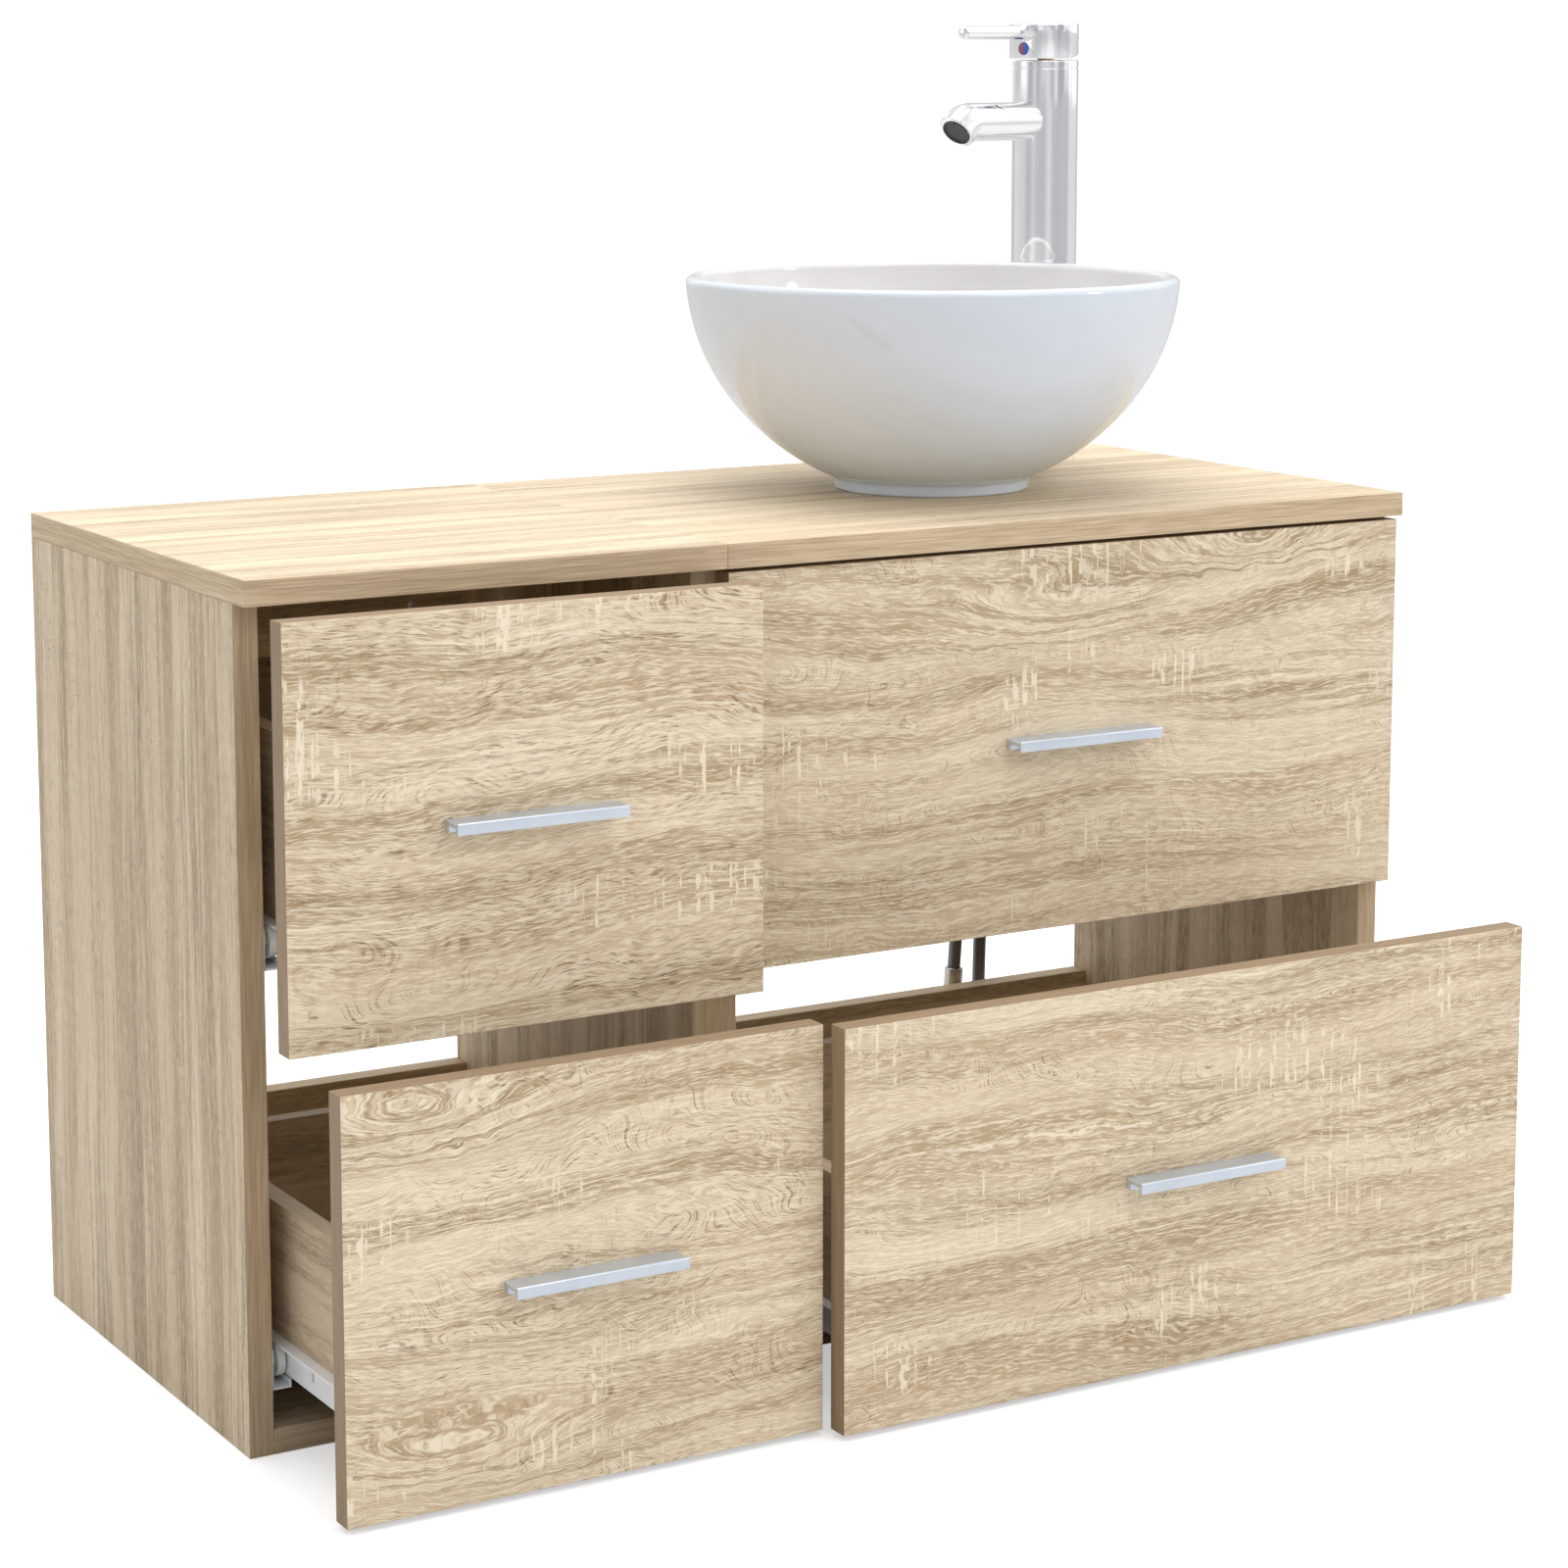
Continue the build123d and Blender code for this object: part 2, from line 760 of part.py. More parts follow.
def tap_aerator():
    height = 7.0
    stand_out = 1.2
    recess_depth = 1.2
    tip, down = spout_path()[4:]
    cup = rod(spout_radius - spout_wall - 0.1, height, tip - down * (height - stand_out), down)
    recess = rod(spout_radius - 4.2, recess_depth + 1, tip + down * (stand_out - recess_depth), down)
    return solid_of(cup - recess)


def tap_cartridge():
    # body, waist and threaded ring, with a well for the spindle
    body_height = 16.0
    well_depth = 12.0
    ring_from = cartridge_floor + body_height + 0.2
    body = rod(17.4, body_height, on_tap(0, cartridge_floor), waste_up)
    waist = rod(12.0, 1.0, on_tap(0, ring_from - 0.6), waste_up)
    top_ring = rod(17.9, tap_body_height - 0.2 - ring_from, on_tap(0, ring_from), waste_up)
    well = rod(spindle_radius + 0.06, 40, on_tap(0, tap_body_height - well_depth), waste_up)
    return solid_of(body + waist + top_ring - well)


def cross_pin(radius, half_length):
    start = on_tap(0, lever_pivot_height) - across * half_length
    return rod(radius, 2 * half_length, start, across)


def tap_stem():
    # round spindle with a squared head, and the cross pin that the cap tilts on
    spindle_length = 11.5
    square_side = 8.0
    square_from = tap_body_height - 0.2
    square_top = tap_cap_bottom + 8.0
    spindle_bottom = tap_body_height - 11.6
    spindle = rod(spindle_radius, spindle_length, on_tap(0, spindle_bottom), waste_up)
    square = Plane(origin=on_tap(0, square_from), x_dir=ahead, z_dir=waste_up) * Box(
        square_side, square_side, square_top - square_from, align=upright
    )
    return solid_of(spindle + square + cross_pin(cross_pin_radius, cross_pin_half))


def tap_cap():
    # round cap with a flat nose that carries the lever; its rear underside slopes so that it can tilt
    nose_half = 12.5
    hollow_radius = 12.5
    hollow_height = 13.0
    spare_tilt = 1.0
    seat_depth = 9.0
    height = tap_cap_top - tap_cap_bottom
    base = Plane(origin=on_tap(0, tap_cap_bottom), x_dir=ahead, z_dir=waste_up)
    drum = base * Cylinder(tap_radius, height, align=upright)
    nose = base * Box(cap_nose_reach, 2 * nose_half, height, align=(Align.MIN, Align.CENTER, Align.MIN))
    cap = drum + nose
    cap = fillet(cap.edges().group_by(Axis.Z)[-1], 1.0)
    slope = Rot(0, lever_tilt + spare_tilt, 0) * Box(
        through, through, through, align=(Align.MAX, Align.CENTER, Align.MAX)
    )
    cap = cap - base * slope
    cap = cap - base * Cylinder(hollow_radius, hollow_height, align=upright)
    cap = cap - cross_pin(cross_pin_radius + 0.1, cross_pin_half + 0.4)
    lever_seat = on_tap(cap_nose_reach - seat_depth, lever_height)
    return solid_of(cap - rod(lever_radius - 1.4, 20, lever_seat, ahead))


def tap_lever():
    tenon = 8.6
    bar = rod(lever_radius, lever_reach - cap_nose_reach, on_tap(cap_nose_reach, lever_height), ahead)
    rims = bar.edges().filter_by(GeomType.CIRCLE)
    far_rim = rims.sort_by(lambda e: (e.center() - tap_foot).dot(ahead))[-1]
    bar = fillet(far_rim, 2.6)
    return solid_of(bar + rod(lever_radius - 1.5, tenon, on_tap(cap_nose_reach - tenon, lever_height), ahead))


stud_radius = 3.9
stud_offset = 11.0


def stud_at(height):
    return on_tap(0, height) - across * stud_offset


def tap_fixing():
    # stud, half-moon washer that straddles the hoses, and nut
    stud_length = 62.0
    washer_radius = 26.0
    washer_height = 3.0
    washer_top = -board
    stud = rod(stud_radius, stud_length, stud_at(-stud_length), waste_up)
    half_moon = rod(washer_radius, washer_height, on_tap(0, washer_top - washer_height), waste_up)
    slot = Plane(origin=on_tap(0, washer_top - 4.0) - across * 5.0, x_dir=across, z_dir=waste_up) * Box(
        60, 34, 5, align=(Align.MIN, Align.CENTER, Align.MIN)
    )
    half_moon = half_moon - slot - rod(stud_radius + 0.2, 20, stud_at(washer_top - 12), waste_up)
    nut = Plane(origin=stud_at(washer_top - 14.0), z_dir=waste_up) * extrude(RegularPolygon(7.2, 6), 11.0)
    nut = nut - rod(stud_radius + 0.05, 40, stud_at(washer_top - 30), waste_up)
    return solid_of(stud), solid_of(half_moon), solid_of(nut)


save("tap_body", tap_body())
save("tap_aerator", tap_aerator())
save("tap_cartridge", tap_cartridge())
save("tap_stem", tap_stem())
save("tap_cap", tap_cap())
save("tap_lever", tap_lever())
save("tap_fixing", *tap_fixing())


# Hoses: each hangs from the tap's underside, swings back under the upper rail and drops behind the
# lower one. Points are (x, y, z) from the tap end to the union nut.
hot_route = [
    (303.5, 99.5, 502.0),
    (303.5, 99.5, 462.0),
    (302.5, 102.0, 413.0),
    (300.5, 112.0, 365.0),
    (298.0, 131.0, 319.0),
    (295.5, 152.0, 273.0),
    (292.5, 167.0, 224.0),
    (290.0, 173.0, 175.0),
    (287.0, 173.5, 126.0),
]
cold_route = [
    (319.7, 99.5, 502.0),
    (319.7, 99.5, 456.0),
    (319.0, 103.0, 405.0),
    (317.0, 115.0, 354.0),
    (314.5, 136.0, 303.0),
    (312.0, 156.0, 252.0),
    (310.0, 169.0, 201.0),
    (309.0, 174.0, 148.0),
    (308.5, 174.0, 95.0),
]


def corner_radii(points):
    radii = []
    for before, corner, after in zip(points, points[1:], points[2:]):
        run_in = Vector(*corner) - Vector(*before)
        run_out = Vector(*after) - Vector(*corner)
        half_turn = math.radians(run_in.get_angle(run_out)) / 2
        radii.append(0.45 * min(run_in.length, run_out.length) / math.tan(half_turn))
    return radii


def hose(node, points):
    radii = corner_radii(points)
    path = FilletPolyline(*points, radius=radii)
    start = Vector(*points[0])
    section = Plane(origin=start, z_dir=Vector(*points[1]) - start) * Circle(hose_radius)
    tube = sweep(section, path)
    save(node, solid_of(tube))
    expected = math.pi * hose_radius**2 * path.length
    print(node, "radii", [round(r, 1) for r in radii], "length", round(path.length, 1))
    print(node, "volume over section times length", round(tube.volume / expected, 4))


def hose_nut(points):
    # crimped ferrule and a hexagonal union nut, in line with the hose's last run
    end = Vector(*points[-1])
    down = (end - Vector(*points[-2])).normalized()
    ferrule_length = 20.0
    nut_start = 24.0
    nut_length = 16.0
    bore_start = 29.0
    ferrule = rod(6.6, ferrule_length, end, down)
    ferrule = fillet(ferrule.edges().group_by(Axis.Z)[-1], 1.0)
    neck = rod(5.0, 6.0, end + down * (ferrule_length - 1), down)
    hexagon = extrude(RegularPolygon(11.0, 6), nut_length)
    nut = Plane(origin=end + down * nut_start, z_dir=down) * hexagon
    whole = ferrule + neck + nut
    return solid_of(whole - rod(8.0, 12.0, end + down * bore_start, down))


hose("hot_hose", hot_route)
hose("cold_hose", cold_route)
save("hot_hose_nut", hose_nut(hot_route))
save("cold_hose_nut", hose_nut(cold_route))
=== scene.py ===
import math

import bpy
import mathutils
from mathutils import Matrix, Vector


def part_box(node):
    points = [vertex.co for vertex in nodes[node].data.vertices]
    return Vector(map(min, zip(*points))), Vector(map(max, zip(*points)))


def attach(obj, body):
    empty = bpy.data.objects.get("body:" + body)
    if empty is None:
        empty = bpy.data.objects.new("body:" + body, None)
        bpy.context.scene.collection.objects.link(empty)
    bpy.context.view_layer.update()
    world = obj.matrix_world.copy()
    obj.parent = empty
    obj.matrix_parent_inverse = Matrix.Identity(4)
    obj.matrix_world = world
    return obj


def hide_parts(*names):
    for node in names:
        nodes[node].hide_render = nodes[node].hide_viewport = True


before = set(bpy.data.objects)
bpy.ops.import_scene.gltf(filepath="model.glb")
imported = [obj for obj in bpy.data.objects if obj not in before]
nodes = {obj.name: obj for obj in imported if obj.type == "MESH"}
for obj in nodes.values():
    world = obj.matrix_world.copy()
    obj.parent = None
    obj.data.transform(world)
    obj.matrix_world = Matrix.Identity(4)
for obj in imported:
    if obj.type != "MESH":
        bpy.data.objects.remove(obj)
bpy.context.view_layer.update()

mm = 0.001
print("vanity frame loaded,", len(nodes), "nodes")

# camera
cameraSetup = {
    "place": (-1.1686, -2.0760, 0.7912),
    "turn": 30.275,  # degrees to the right of straight ahead
    "tilt": 8.361,  # degrees below level
    "lens": 87.0,
    "shiftY": -0.12,
}
lensData = bpy.data.cameras.new("vanityCamera")
lensData.lens = cameraSetup["lens"]
lensData.shift_y = cameraSetup["shiftY"]
camera = bpy.data.objects.new("vanityCamera", lensData)
camera.location = cameraSetup["place"]
camera.rotation_euler = (math.radians(90 - cameraSetup["tilt"]), 0, math.radians(-cameraSetup["turn"]))
bpy.context.collection.objects.link(camera)
bpy.context.scene.camera = camera


# small helpers for modelling
def deselectAll():
    if bpy.context.object and bpy.context.object.mode != "OBJECT":
        bpy.ops.object.mode_set(mode="OBJECT")
    bpy.ops.object.select_all(action="DESELECT")


def pick(piece):
    deselectAll()
    piece.select_set(True)
    bpy.context.view_layer.objects.active = piece


def settle(piece, name):
    # the place goes into the mesh, as a CAD node has it
    pick(piece)
    bpy.ops.object.transform_apply(location=True, rotation=True, scale=True)
    piece.name = name
    piece.data.name = name
    return piece


def applyAll(piece):
    pick(piece)
    for name in [m.name for m in piece.modifiers]:
        bpy.ops.object.modifier_apply(modifier=name)


def outlineStart(place):
    # a mesh of one vertex, ready to be drawn on: a small plane merged to its middle
    deselectAll()
    bpy.ops.mesh.primitive_plane_add(size=mm, location=place)
    piece = bpy.context.object
    bpy.ops.object.transform_apply(location=True, rotation=True, scale=True)
    bpy.ops.object.mode_set(mode="EDIT")
    bpy.ops.mesh.select_all(action="SELECT")
    bpy.ops.mesh.merge(type="CENTER")
    return piece


def turnedPiece(name, outline, foot, axis, steps=96, sharp=32):
    # outline is (radius, height) in mm, closed on itself or on the axis, and turned about it
    axis = Vector(axis).normalized()
    side = axis.orthogonal().normalized()
    spots = [Vector(foot) + side * (r * mm) + axis * (h * mm) for r, h in outline]
    piece = outlineStart(spots[0])
    for before, after in zip(spots, spots[1:]):
        bpy.ops.mesh.extrude_region_move(TRANSFORM_OT_translate={"value": after - before})
    bpy.ops.mesh.select_all(action="SELECT")
    bpy.ops.mesh.spin(steps=steps, angle=2 * math.pi, center=foot, axis=axis)
    bpy.ops.mesh.select_all(action="SELECT")
    bpy.ops.mesh.remove_doubles(threshold=0.02 * mm)
    bpy.ops.mesh.normals_make_consistent(inside=False)
    bpy.ops.object.mode_set(mode="OBJECT")
    settle(piece, name)
    bpy.ops.object.shade_smooth_by_angle(angle=math.radians(sharp))
    return piece


def rounded(centre, radius, start, end, count=6):
    # points on a round corner, from one angle to the other in degrees
    points = []
    for i in range(count + 1):
        angle = math.radians(start + (end - start) * i / count)
        points.append((centre[0] + radius * math.cos(angle), centre[1] + radius * math.sin(angle)))
    return points


def brokenEdges(nodeName, name, width, segments=2):
    # the CAD shape with its corners broken, so that they catch the light
    piece = bpy.data.objects.new(name, nodes[nodeName].data.copy())
    piece.data.name = name
    bpy.context.collection.objects.link(piece)
    pick(piece)
    bpy.ops.object.mode_set(mode="EDIT")
    bpy.ops.mesh.select_all(action="SELECT")
    bpy.ops.mesh.remove_doubles(threshold=0.005 * mm)
    bpy.ops.mesh.dissolve_limited(angle_limit=math.radians(0.6))
    bpy.ops.object.mode_set(mode="OBJECT")
    bevel = piece.modifiers.new("brokenEdges", "BEVEL")
    bevel.width = width
    bevel.segments = segments
    bevel.limit_method = "ANGLE"
    bevel.angle_limit = math.radians(32)
    bevel.use_clamp_overlap = True
    applyAll(piece)
    bpy.ops.object.shade_smooth_by_angle(angle=math.radians(30))
    return piece


def standFor(piece, nodeName, body):
    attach(piece, body)
    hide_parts(nodeName)
    return piece


# hoses, first of all pieces
hoseSetup = {
    "radius": 4.75 * mm,
    "strands": 12,
    "pitch": 2.6 * mm,  # along the hose, from one strand to the next
    "lift": 0.42 * mm,
    "around": 60,
    "step": 0.62 * mm,
}
hoseRoutes = {
    "hot": [
        (303.5, 99.5, 502.0),
        (303.5, 99.5, 462.0),
        (302.5, 102.0, 413.0),
        (300.5, 112.0, 365.0),
        (298.0, 131.0, 319.0),
        (295.5, 152.0, 273.0),
        (292.5, 167.0, 224.0),
        (290.0, 173.0, 175.0),
        (287.0, 173.5, 126.0),
    ],
    "cold": [
        (319.7, 99.5, 502.0),
        (319.7, 99.5, 456.0),
        (319.0, 103.0, 405.0),
        (317.0, 115.0, 354.0),
        (314.5, 136.0, 303.0),
        (312.0, 156.0, 252.0),
        (310.0, 169.0, 201.0),
        (309.0, 174.0, 148.0),
        (308.5, 174.0, 95.0),
    ],
}


def smoothLine(name, route):
    # the route as a smooth line, read back as closely spaced points
    curve = bpy.data.curves.new(name + "Line", "CURVE")
    curve.dimensions = "3D"
    spline = curve.splines.new("NURBS")
    spline.points.add(len(route) - 1)
    for point, place in zip(spline.points, route):
        point.co = (*[v * mm for v in place], 1)
    spline.order_u = 3
    spline.use_endpoint_u = True
    curve.resolution_u = 24
    carrier = bpy.data.objects.new(name + "Line", curve)
    bpy.context.collection.objects.link(carrier)
    bpy.context.view_layer.update()
    mesh = bpy.data.meshes.new_from_object(carrier)
    points = [v.co.copy() for v in mesh.vertices]
    bpy.data.objects.remove(carrier)
    bpy.data.meshes.remove(mesh)
    return points


def evenly(points, step):
    # the same line with points one step apart, and its length
    lengths = [0.0]
    for a, b in zip(points, points[1:]):
        lengths.append(lengths[-1] + (b - a).length)
    count = round(lengths[-1] / step)
    spaced = []
    run = 0
    for i in range(count + 1):
        at = lengths[-1] * i / count
        while run < len(points) - 2 and lengths[run + 1] < at:
            run += 1
        share = (at - lengths[run]) / (lengths[run + 1] - lengths[run])
        spaced.append(points[run].lerp(points[run + 1], share))
    return spaced, lengths[-1]


def weave(around, along):
    # height of a wire braid, 0 in the gaps and 1 on the crowns
    a = hoseSetup["strands"] * around + along / hoseSetup["pitch"]
    b = hoseSetup["strands"] * around - along / hoseSetup["pitch"]
    crossing = math.cos(math.pi * a) * math.cos(math.pi * b)
    first = (0.5 + 0.5 * math.cos(2 * math.pi * a)) ** 0.6 * (0.68 + 0.32 * crossing)
    second = (0.5 + 0.5 * math.cos(2 * math.pi * b)) ** 0.6 * (0.68 - 0.32 * crossing)
    return max(first, second)


def braidedHose(name, route):
    line, length = evenly(smoothLine(name, route), hoseSetup["step"])
    sides = hoseSetup["around"]
    core = hoseSetup["radius"] - hoseSetup["lift"]
    vertices, heights, faces = [], [], []
    side = Vector((1, 0, 0))
    for i, place in enumerate(line):
        ahead = (line[min(i + 1, len(line) - 1)] - line[max(i - 1, 0)]).normalized()
        side = (side - ahead * side.dot(ahead)).normalized()
        up = ahead.cross(side)
        along = length * i / (len(line) - 1)
        for j in range(sides):
            turn = 2 * math.pi * j / sides
            height = weave(j / sides, along)
            out = side * math.cos(turn) + up * math.sin(turn)
            vertices.append(place + out * (core + hoseSetup["lift"] * height))
            heights.append(height)
    for i in range(len(line) - 1):
        for j in range(sides):
            k = (j + 1) % sides
            faces.append((i * sides + j, i * sides + k, (i + 1) * sides + k, (i + 1) * sides + j))
    faces.append(tuple(range(sides))[::-1])
    faces.append(tuple((len(line) - 1) * sides + j for j in range(sides)))
    mesh = bpy.data.meshes.new(name)
    mesh.from_pydata(vertices, [], faces)
    crown = mesh.attributes.new("braidCrown", "FLOAT", "POINT")
    crown.data.foreach_set("value", heights)
    mesh.shade_smooth()
    piece = bpy.data.objects.new(name, mesh)
    bpy.context.collection.objects.link(piece)
    return piece, line


hoses = {}
for end, route in hoseRoutes.items():
    hoseName = end + "_hose"
    hose, hoseLine = braidedHose(end + "HoseBraid", route)
    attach(hose, "carcass")
    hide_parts(hoseName)
    hoses[end] = hose
print("hoses braided")

# basin: the outline is (radius, height above the counter) in mm
basinSetup = {
    "place": (154.0 * mm, -1.0 * mm),
    "outer": ((65.0, 8.0), (74.6, 10.7), (153.0, 45.9), (160.0, 133.6)),
    "inner": ((151.2, 133.6), (150.2, 121.6), (133.8, 24.6), (40.0, 19.0)),
    "curveSteps": 26,
    "rim": 4.4,
    "foot": 63.5,
    "footRound": 2.0,
    "footBand": ((0.0, 5.6), (0.4, 7.0)),  # out from the foot, and height
    "hole": 22.5,
    "seat": (32.0, 15.0),  # radius and height of the waste's seat
    "seatRound": 3.0,
    "turns": 144,
}
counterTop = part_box("right_top")[1][2]


def curved(handles, steps):
    knots = [Vector((r, h, 0)) for r, h in handles]
    drawn = mathutils.geometry.interpolate_bezier(*knots, steps)
    return [(v.x, v.y) for v in drawn]


def makeBasin():
    setup = basinSetup
    rim, foot, edge = setup["rim"], setup["foot"], setup["footRound"]
    seatRadius, seatHeight = setup["seat"]
    rimCentre = (setup["outer"][-1][0] - rim, setup["outer"][-1][1])
    outline = [(setup["hole"], 0.0)]
    outline += rounded((foot - edge, edge), edge, -90, 0, 4)
    outline += [(foot + out, height) for out, height in setup["footBand"]]
    outline += curved(setup["outer"], setup["curveSteps"])
    outline += rounded(rimCentre, rim, 0, 180, 14)[1:-1]
    outline += curved(setup["inner"], setup["curveSteps"])
    outline += rounded((seatRadius + setup["seatRound"], seatHeight), setup["seatRound"], 90, 180, 4)
    outline += [(setup["hole"], seatHeight), (setup["hole"], 0.0)]
    centre = (*setup["place"], counterTop)
    bowl = turnedPiece("basinBowl", outline, centre, (0, 0, 1), setup["turns"])
    return standFor(bowl, "basin_bowl", "carcass")


# tap: heights are above the counter, and reach is from its upright axis, in mm
tapSetup = {
    "place": (311.7 * mm, 103.4 * mm),
    "direction": 197.0,
    "radius": 22.6,
    "height": 274.8,
    "grooveHeight": 269.6,
    "grooveDepth": 0.55,
    "grooveShoulder": 0.2,
    "grooveRises": (0.7, 0.45, 0.3),  # from the groove's middle to its edge, shoulder and floor
    "topRound": 1.2,
    "cartridgeFloor": 252.0,
    "cartridgeBore": 18.0,
    "spoutRadius": 13.0,
    "spoutHeight": 233.6,
    "spoutStraight": 81.5,
    "spoutRoot": 6,  # it starts inside the column
    "bendRadius": 15.0,
    "bendAngle": 42.0,
    "spoutEnd": 4.0,
    "mouthBevel": 0.5,
    "lipWidth": 2.4,
    "lipDepth": 1.1,
    "leverHeight": 293.4,
    "leverRadius": 4.7,
    "leverReach": (24.0, 89.3),
    "markHeight": 282.6,
    "markRadius": 4.45,
}
tapTurn = math.radians(tapSetup["direction"])
tapAhead = Vector((math.cos(tapTurn), math.sin(tapTurn), 0))
tapAcross = Vector((-math.sin(tapTurn), math.cos(tapTurn), 0))


def onTap(reach, height):
    return Vector((*tapSetup["place"], counterTop)) + tapAhead * (reach * mm) + Vector((0, 0, height * mm))


def makeTapColumn():
    setup = tapSetup
    r, top, groove, deep = setup["radius"], setup["height"], setup["grooveHeight"], setup["grooveDepth"]
    edge, shoulder, bottom = setup["grooveRises"]
    bevel = setup["topRound"]
    steps = [(0.0, edge), (setup["grooveShoulder"], shoulder), (deep, bottom)]
    outline = [(0, 0), (r, 0)]
    outline += [(r - depth, groove - rise) for depth, rise in steps]
    outline += [(r - depth, groove + rise) for depth, rise in reversed(steps)]
    outline += rounded((r - bevel, top - bevel), bevel, 0, 90, 5)
    bore = setup["cartridgeBore"]
    outline += [(bore, top), (bore, setup["cartridgeFloor"]), (0, setup["cartridgeFloor"])]
    return turnedPiece("tapColumn", outline, onTap(0, 0), (0, 0, 1), 128)


def spoutDown():
    # the way that the spout's mouth points
    bend = math.radians(tapSetup["bendAngle"])
    return bend, tapAhead * math.cos(bend) - Vector((0, 0, math.sin(bend)))


def makeSpout():
    # a circle drawn out of the column, turned down at the bend, then sunk at its mouth
    setup = tapSetup
    deselectAll()
    start = onTap(setup["spoutRoot"], setup["spoutHeight"])
    facing = tapAhead.to_track_quat("Z", "Y").to_euler()
    bpy.ops.mesh.primitive_circle_add(
        vertices=72, radius=setup["spoutRadius"] * mm, fill_type="NGON", location=start, rotation=facing
    )
    spout = bpy.context.object
    bpy.ops.object.transform_apply(location=True, rotation=True, scale=True)
    bpy.ops.object.mode_set(mode="EDIT")
    bpy.ops.mesh.select_all(action="SELECT")
    straight = tapAhead * ((setup["spoutStraight"] - setup["spoutRoot"]) * mm)
    bpy.ops.mesh.extrude_region_move(TRANSFORM_OT_translate={"value": straight})
    bpy.ops.mesh.delete(type="ONLY_FACE")
    bpy.ops.object.mode_set(mode="OBJECT")
    for edge in spout.data.edges:
        ends = [spout.data.vertices[i].co for i in edge.vertices]
        edge.select = all((end - start).dot(tapAhead) > straight.length - mm for end in ends)
    bpy.ops.object.mode_set(mode="EDIT")
    bend, down = spoutDown()
    pivot = onTap(setup["spoutStraight"], setup["spoutHeight"] - setup["bendRadius"])
    bpy.ops.mesh.spin(steps=12, angle=bend, center=pivot, axis=-tapAcross)
    bevel = setup["mouthBevel"]
    reach = down * (setup["spoutEnd"] - bevel) * mm
    bpy.ops.mesh.extrude_region_move(TRANSFORM_OT_translate={"value": reach})
    lip = setup["spoutRadius"] - bevel
    bpy.ops.mesh.extrude_region_move(TRANSFORM_OT_translate={"value": down * bevel * mm})
    bpy.ops.transform.resize(value=[lip / setup["spoutRadius"]] * 3)
    bpy.ops.mesh.extrude_region_move()
    bpy.ops.transform.resize(value=[(lip - setup["lipWidth"]) / lip] * 3)
    bpy.ops.mesh.extrude_region_move(TRANSFORM_OT_translate={"value": -down * setup["lipDepth"] * mm})
    bpy.ops.mesh.edge_face_add()
    bpy.ops.mesh.select_all(action="SELECT")
    bpy.ops.mesh.remove_doubles(threshold=0.01 * mm)
    bpy.ops.mesh.normals_make_consistent(inside=False)
    bpy.ops.object.mode_set(mode="OBJECT")
    return settle(spout, "tapSpout")


def makeTapBody():
    column = makeTapColumn()
    spout = makeSpout()
    union = column.modifiers.new("spoutJoint", "BOOLEAN")
    union.operation = "UNION"
    union.solver = "EXACT"
    union.object = spout
    applyAll(column)
    bpy.data.objects.remove(spout)
    settle(column, "tapBody")
    bpy.ops.object.shade_smooth_by_angle(angle=math.radians(32))
    return standFor(column, "tap_body", "carcass")


def makeAerator():
    # a dished plate of fine mesh held by a plain ring
    setup = tapSetup
    bend, down = spoutDown()
    side = setup["bendRadius"]
    reach = setup["spoutStraight"] + side * math.sin(bend) + setup["spoutEnd"] * math.cos(bend)
    height = setup["spoutHeight"] - side * (1 - math.cos(bend)) - setup["spoutEnd"] * math.sin(bend)
    mouth = onTap(reach, height)
    outline = [(0, -5.0), (10.0, -5.0), (10.0, 0.4)]
    outline += rounded((9.4, 0.4), 0.6, 0, 180, 5)[1:]
    outline += [(8.6, -0.3), (5.0, 0.0), (0, 0.15)]
    aerator = turnedPiece("tapAerator", outline, mouth, down, 64)
    return standFor(aerator, "tap_aerator", "carcass")


def makeLever():
    setup = tapSetup
    near, far = setup["leverReach"]
    length, r = far - near, setup["leverRadius"]
    outline = [(0, -8.0), (3.2, -8.0), (3.2, 0.0), (r - 0.3, 0.0), (r, 0.3)]
    outline += [(r, length - 5.5), (r - 0.12, length - 4.6)]
    outline += rounded((r - 2.9, length - 2.8), 2.8, 0, 90, 7)
    outline += [(0, length)]
    lever = turnedPiece("tapLever", outline, onTap(near, setup["leverHeight"]), tapAhead, 64)
    return standFor(lever, "tap_lever", "tap_head")


def makeTapMark():
    # a small domed lens on the nose, half for hot and half for cold
    setup = tapSetup
    r = setup["markRadius"]
    outline = [(0, -0.3), (r, -0.3), (r, 0.15), (r - 0.25, 0.4), (r - 1.5, 0.62), (0, 0.75)]
    near = setup["leverReach"][0]
    mark = turnedPiece("tapMark", outline, onTap(near, setup["markHeight"]), tapAhead, 48)
    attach(mark, "tap_head")
    return mark


deselectAll()
basinBowl = makeBasin()
tapBody = makeTapBody()
tapAerator = makeAerator()
tapLever = makeLever()
tapMark = makeTapMark()
tapCap = standFor(brokenEdges("tap_cap", "tapCap", 0.5 * mm), "tap_cap", "tap_head")
handles = []
for front, body in {
    "false_front": "carcass",
    "left_upper": "left_upper_drawer",
    "left_lower": "left_lower_drawer",
    "right_lower": "right_lower_drawer",
}.items():
    bar = brokenEdges(front + "_handle", front + "Handle", 0.35 * mm, 3)
    handles.append(standFor(bar, front + "_handle", body))
print("basin, tap and handles modelled")

# node building
def paintColour(red, green, blue):
    # a colour as a paint chart gives it, 0 to 255, made linear
    values = []
    for v in (red, green, blue):
        v = v / 255
        values.append(v / 12.92 if v <= 0.04045 else ((v + 0.055) / 1.055) ** 2.4)
    return (*values, 1)


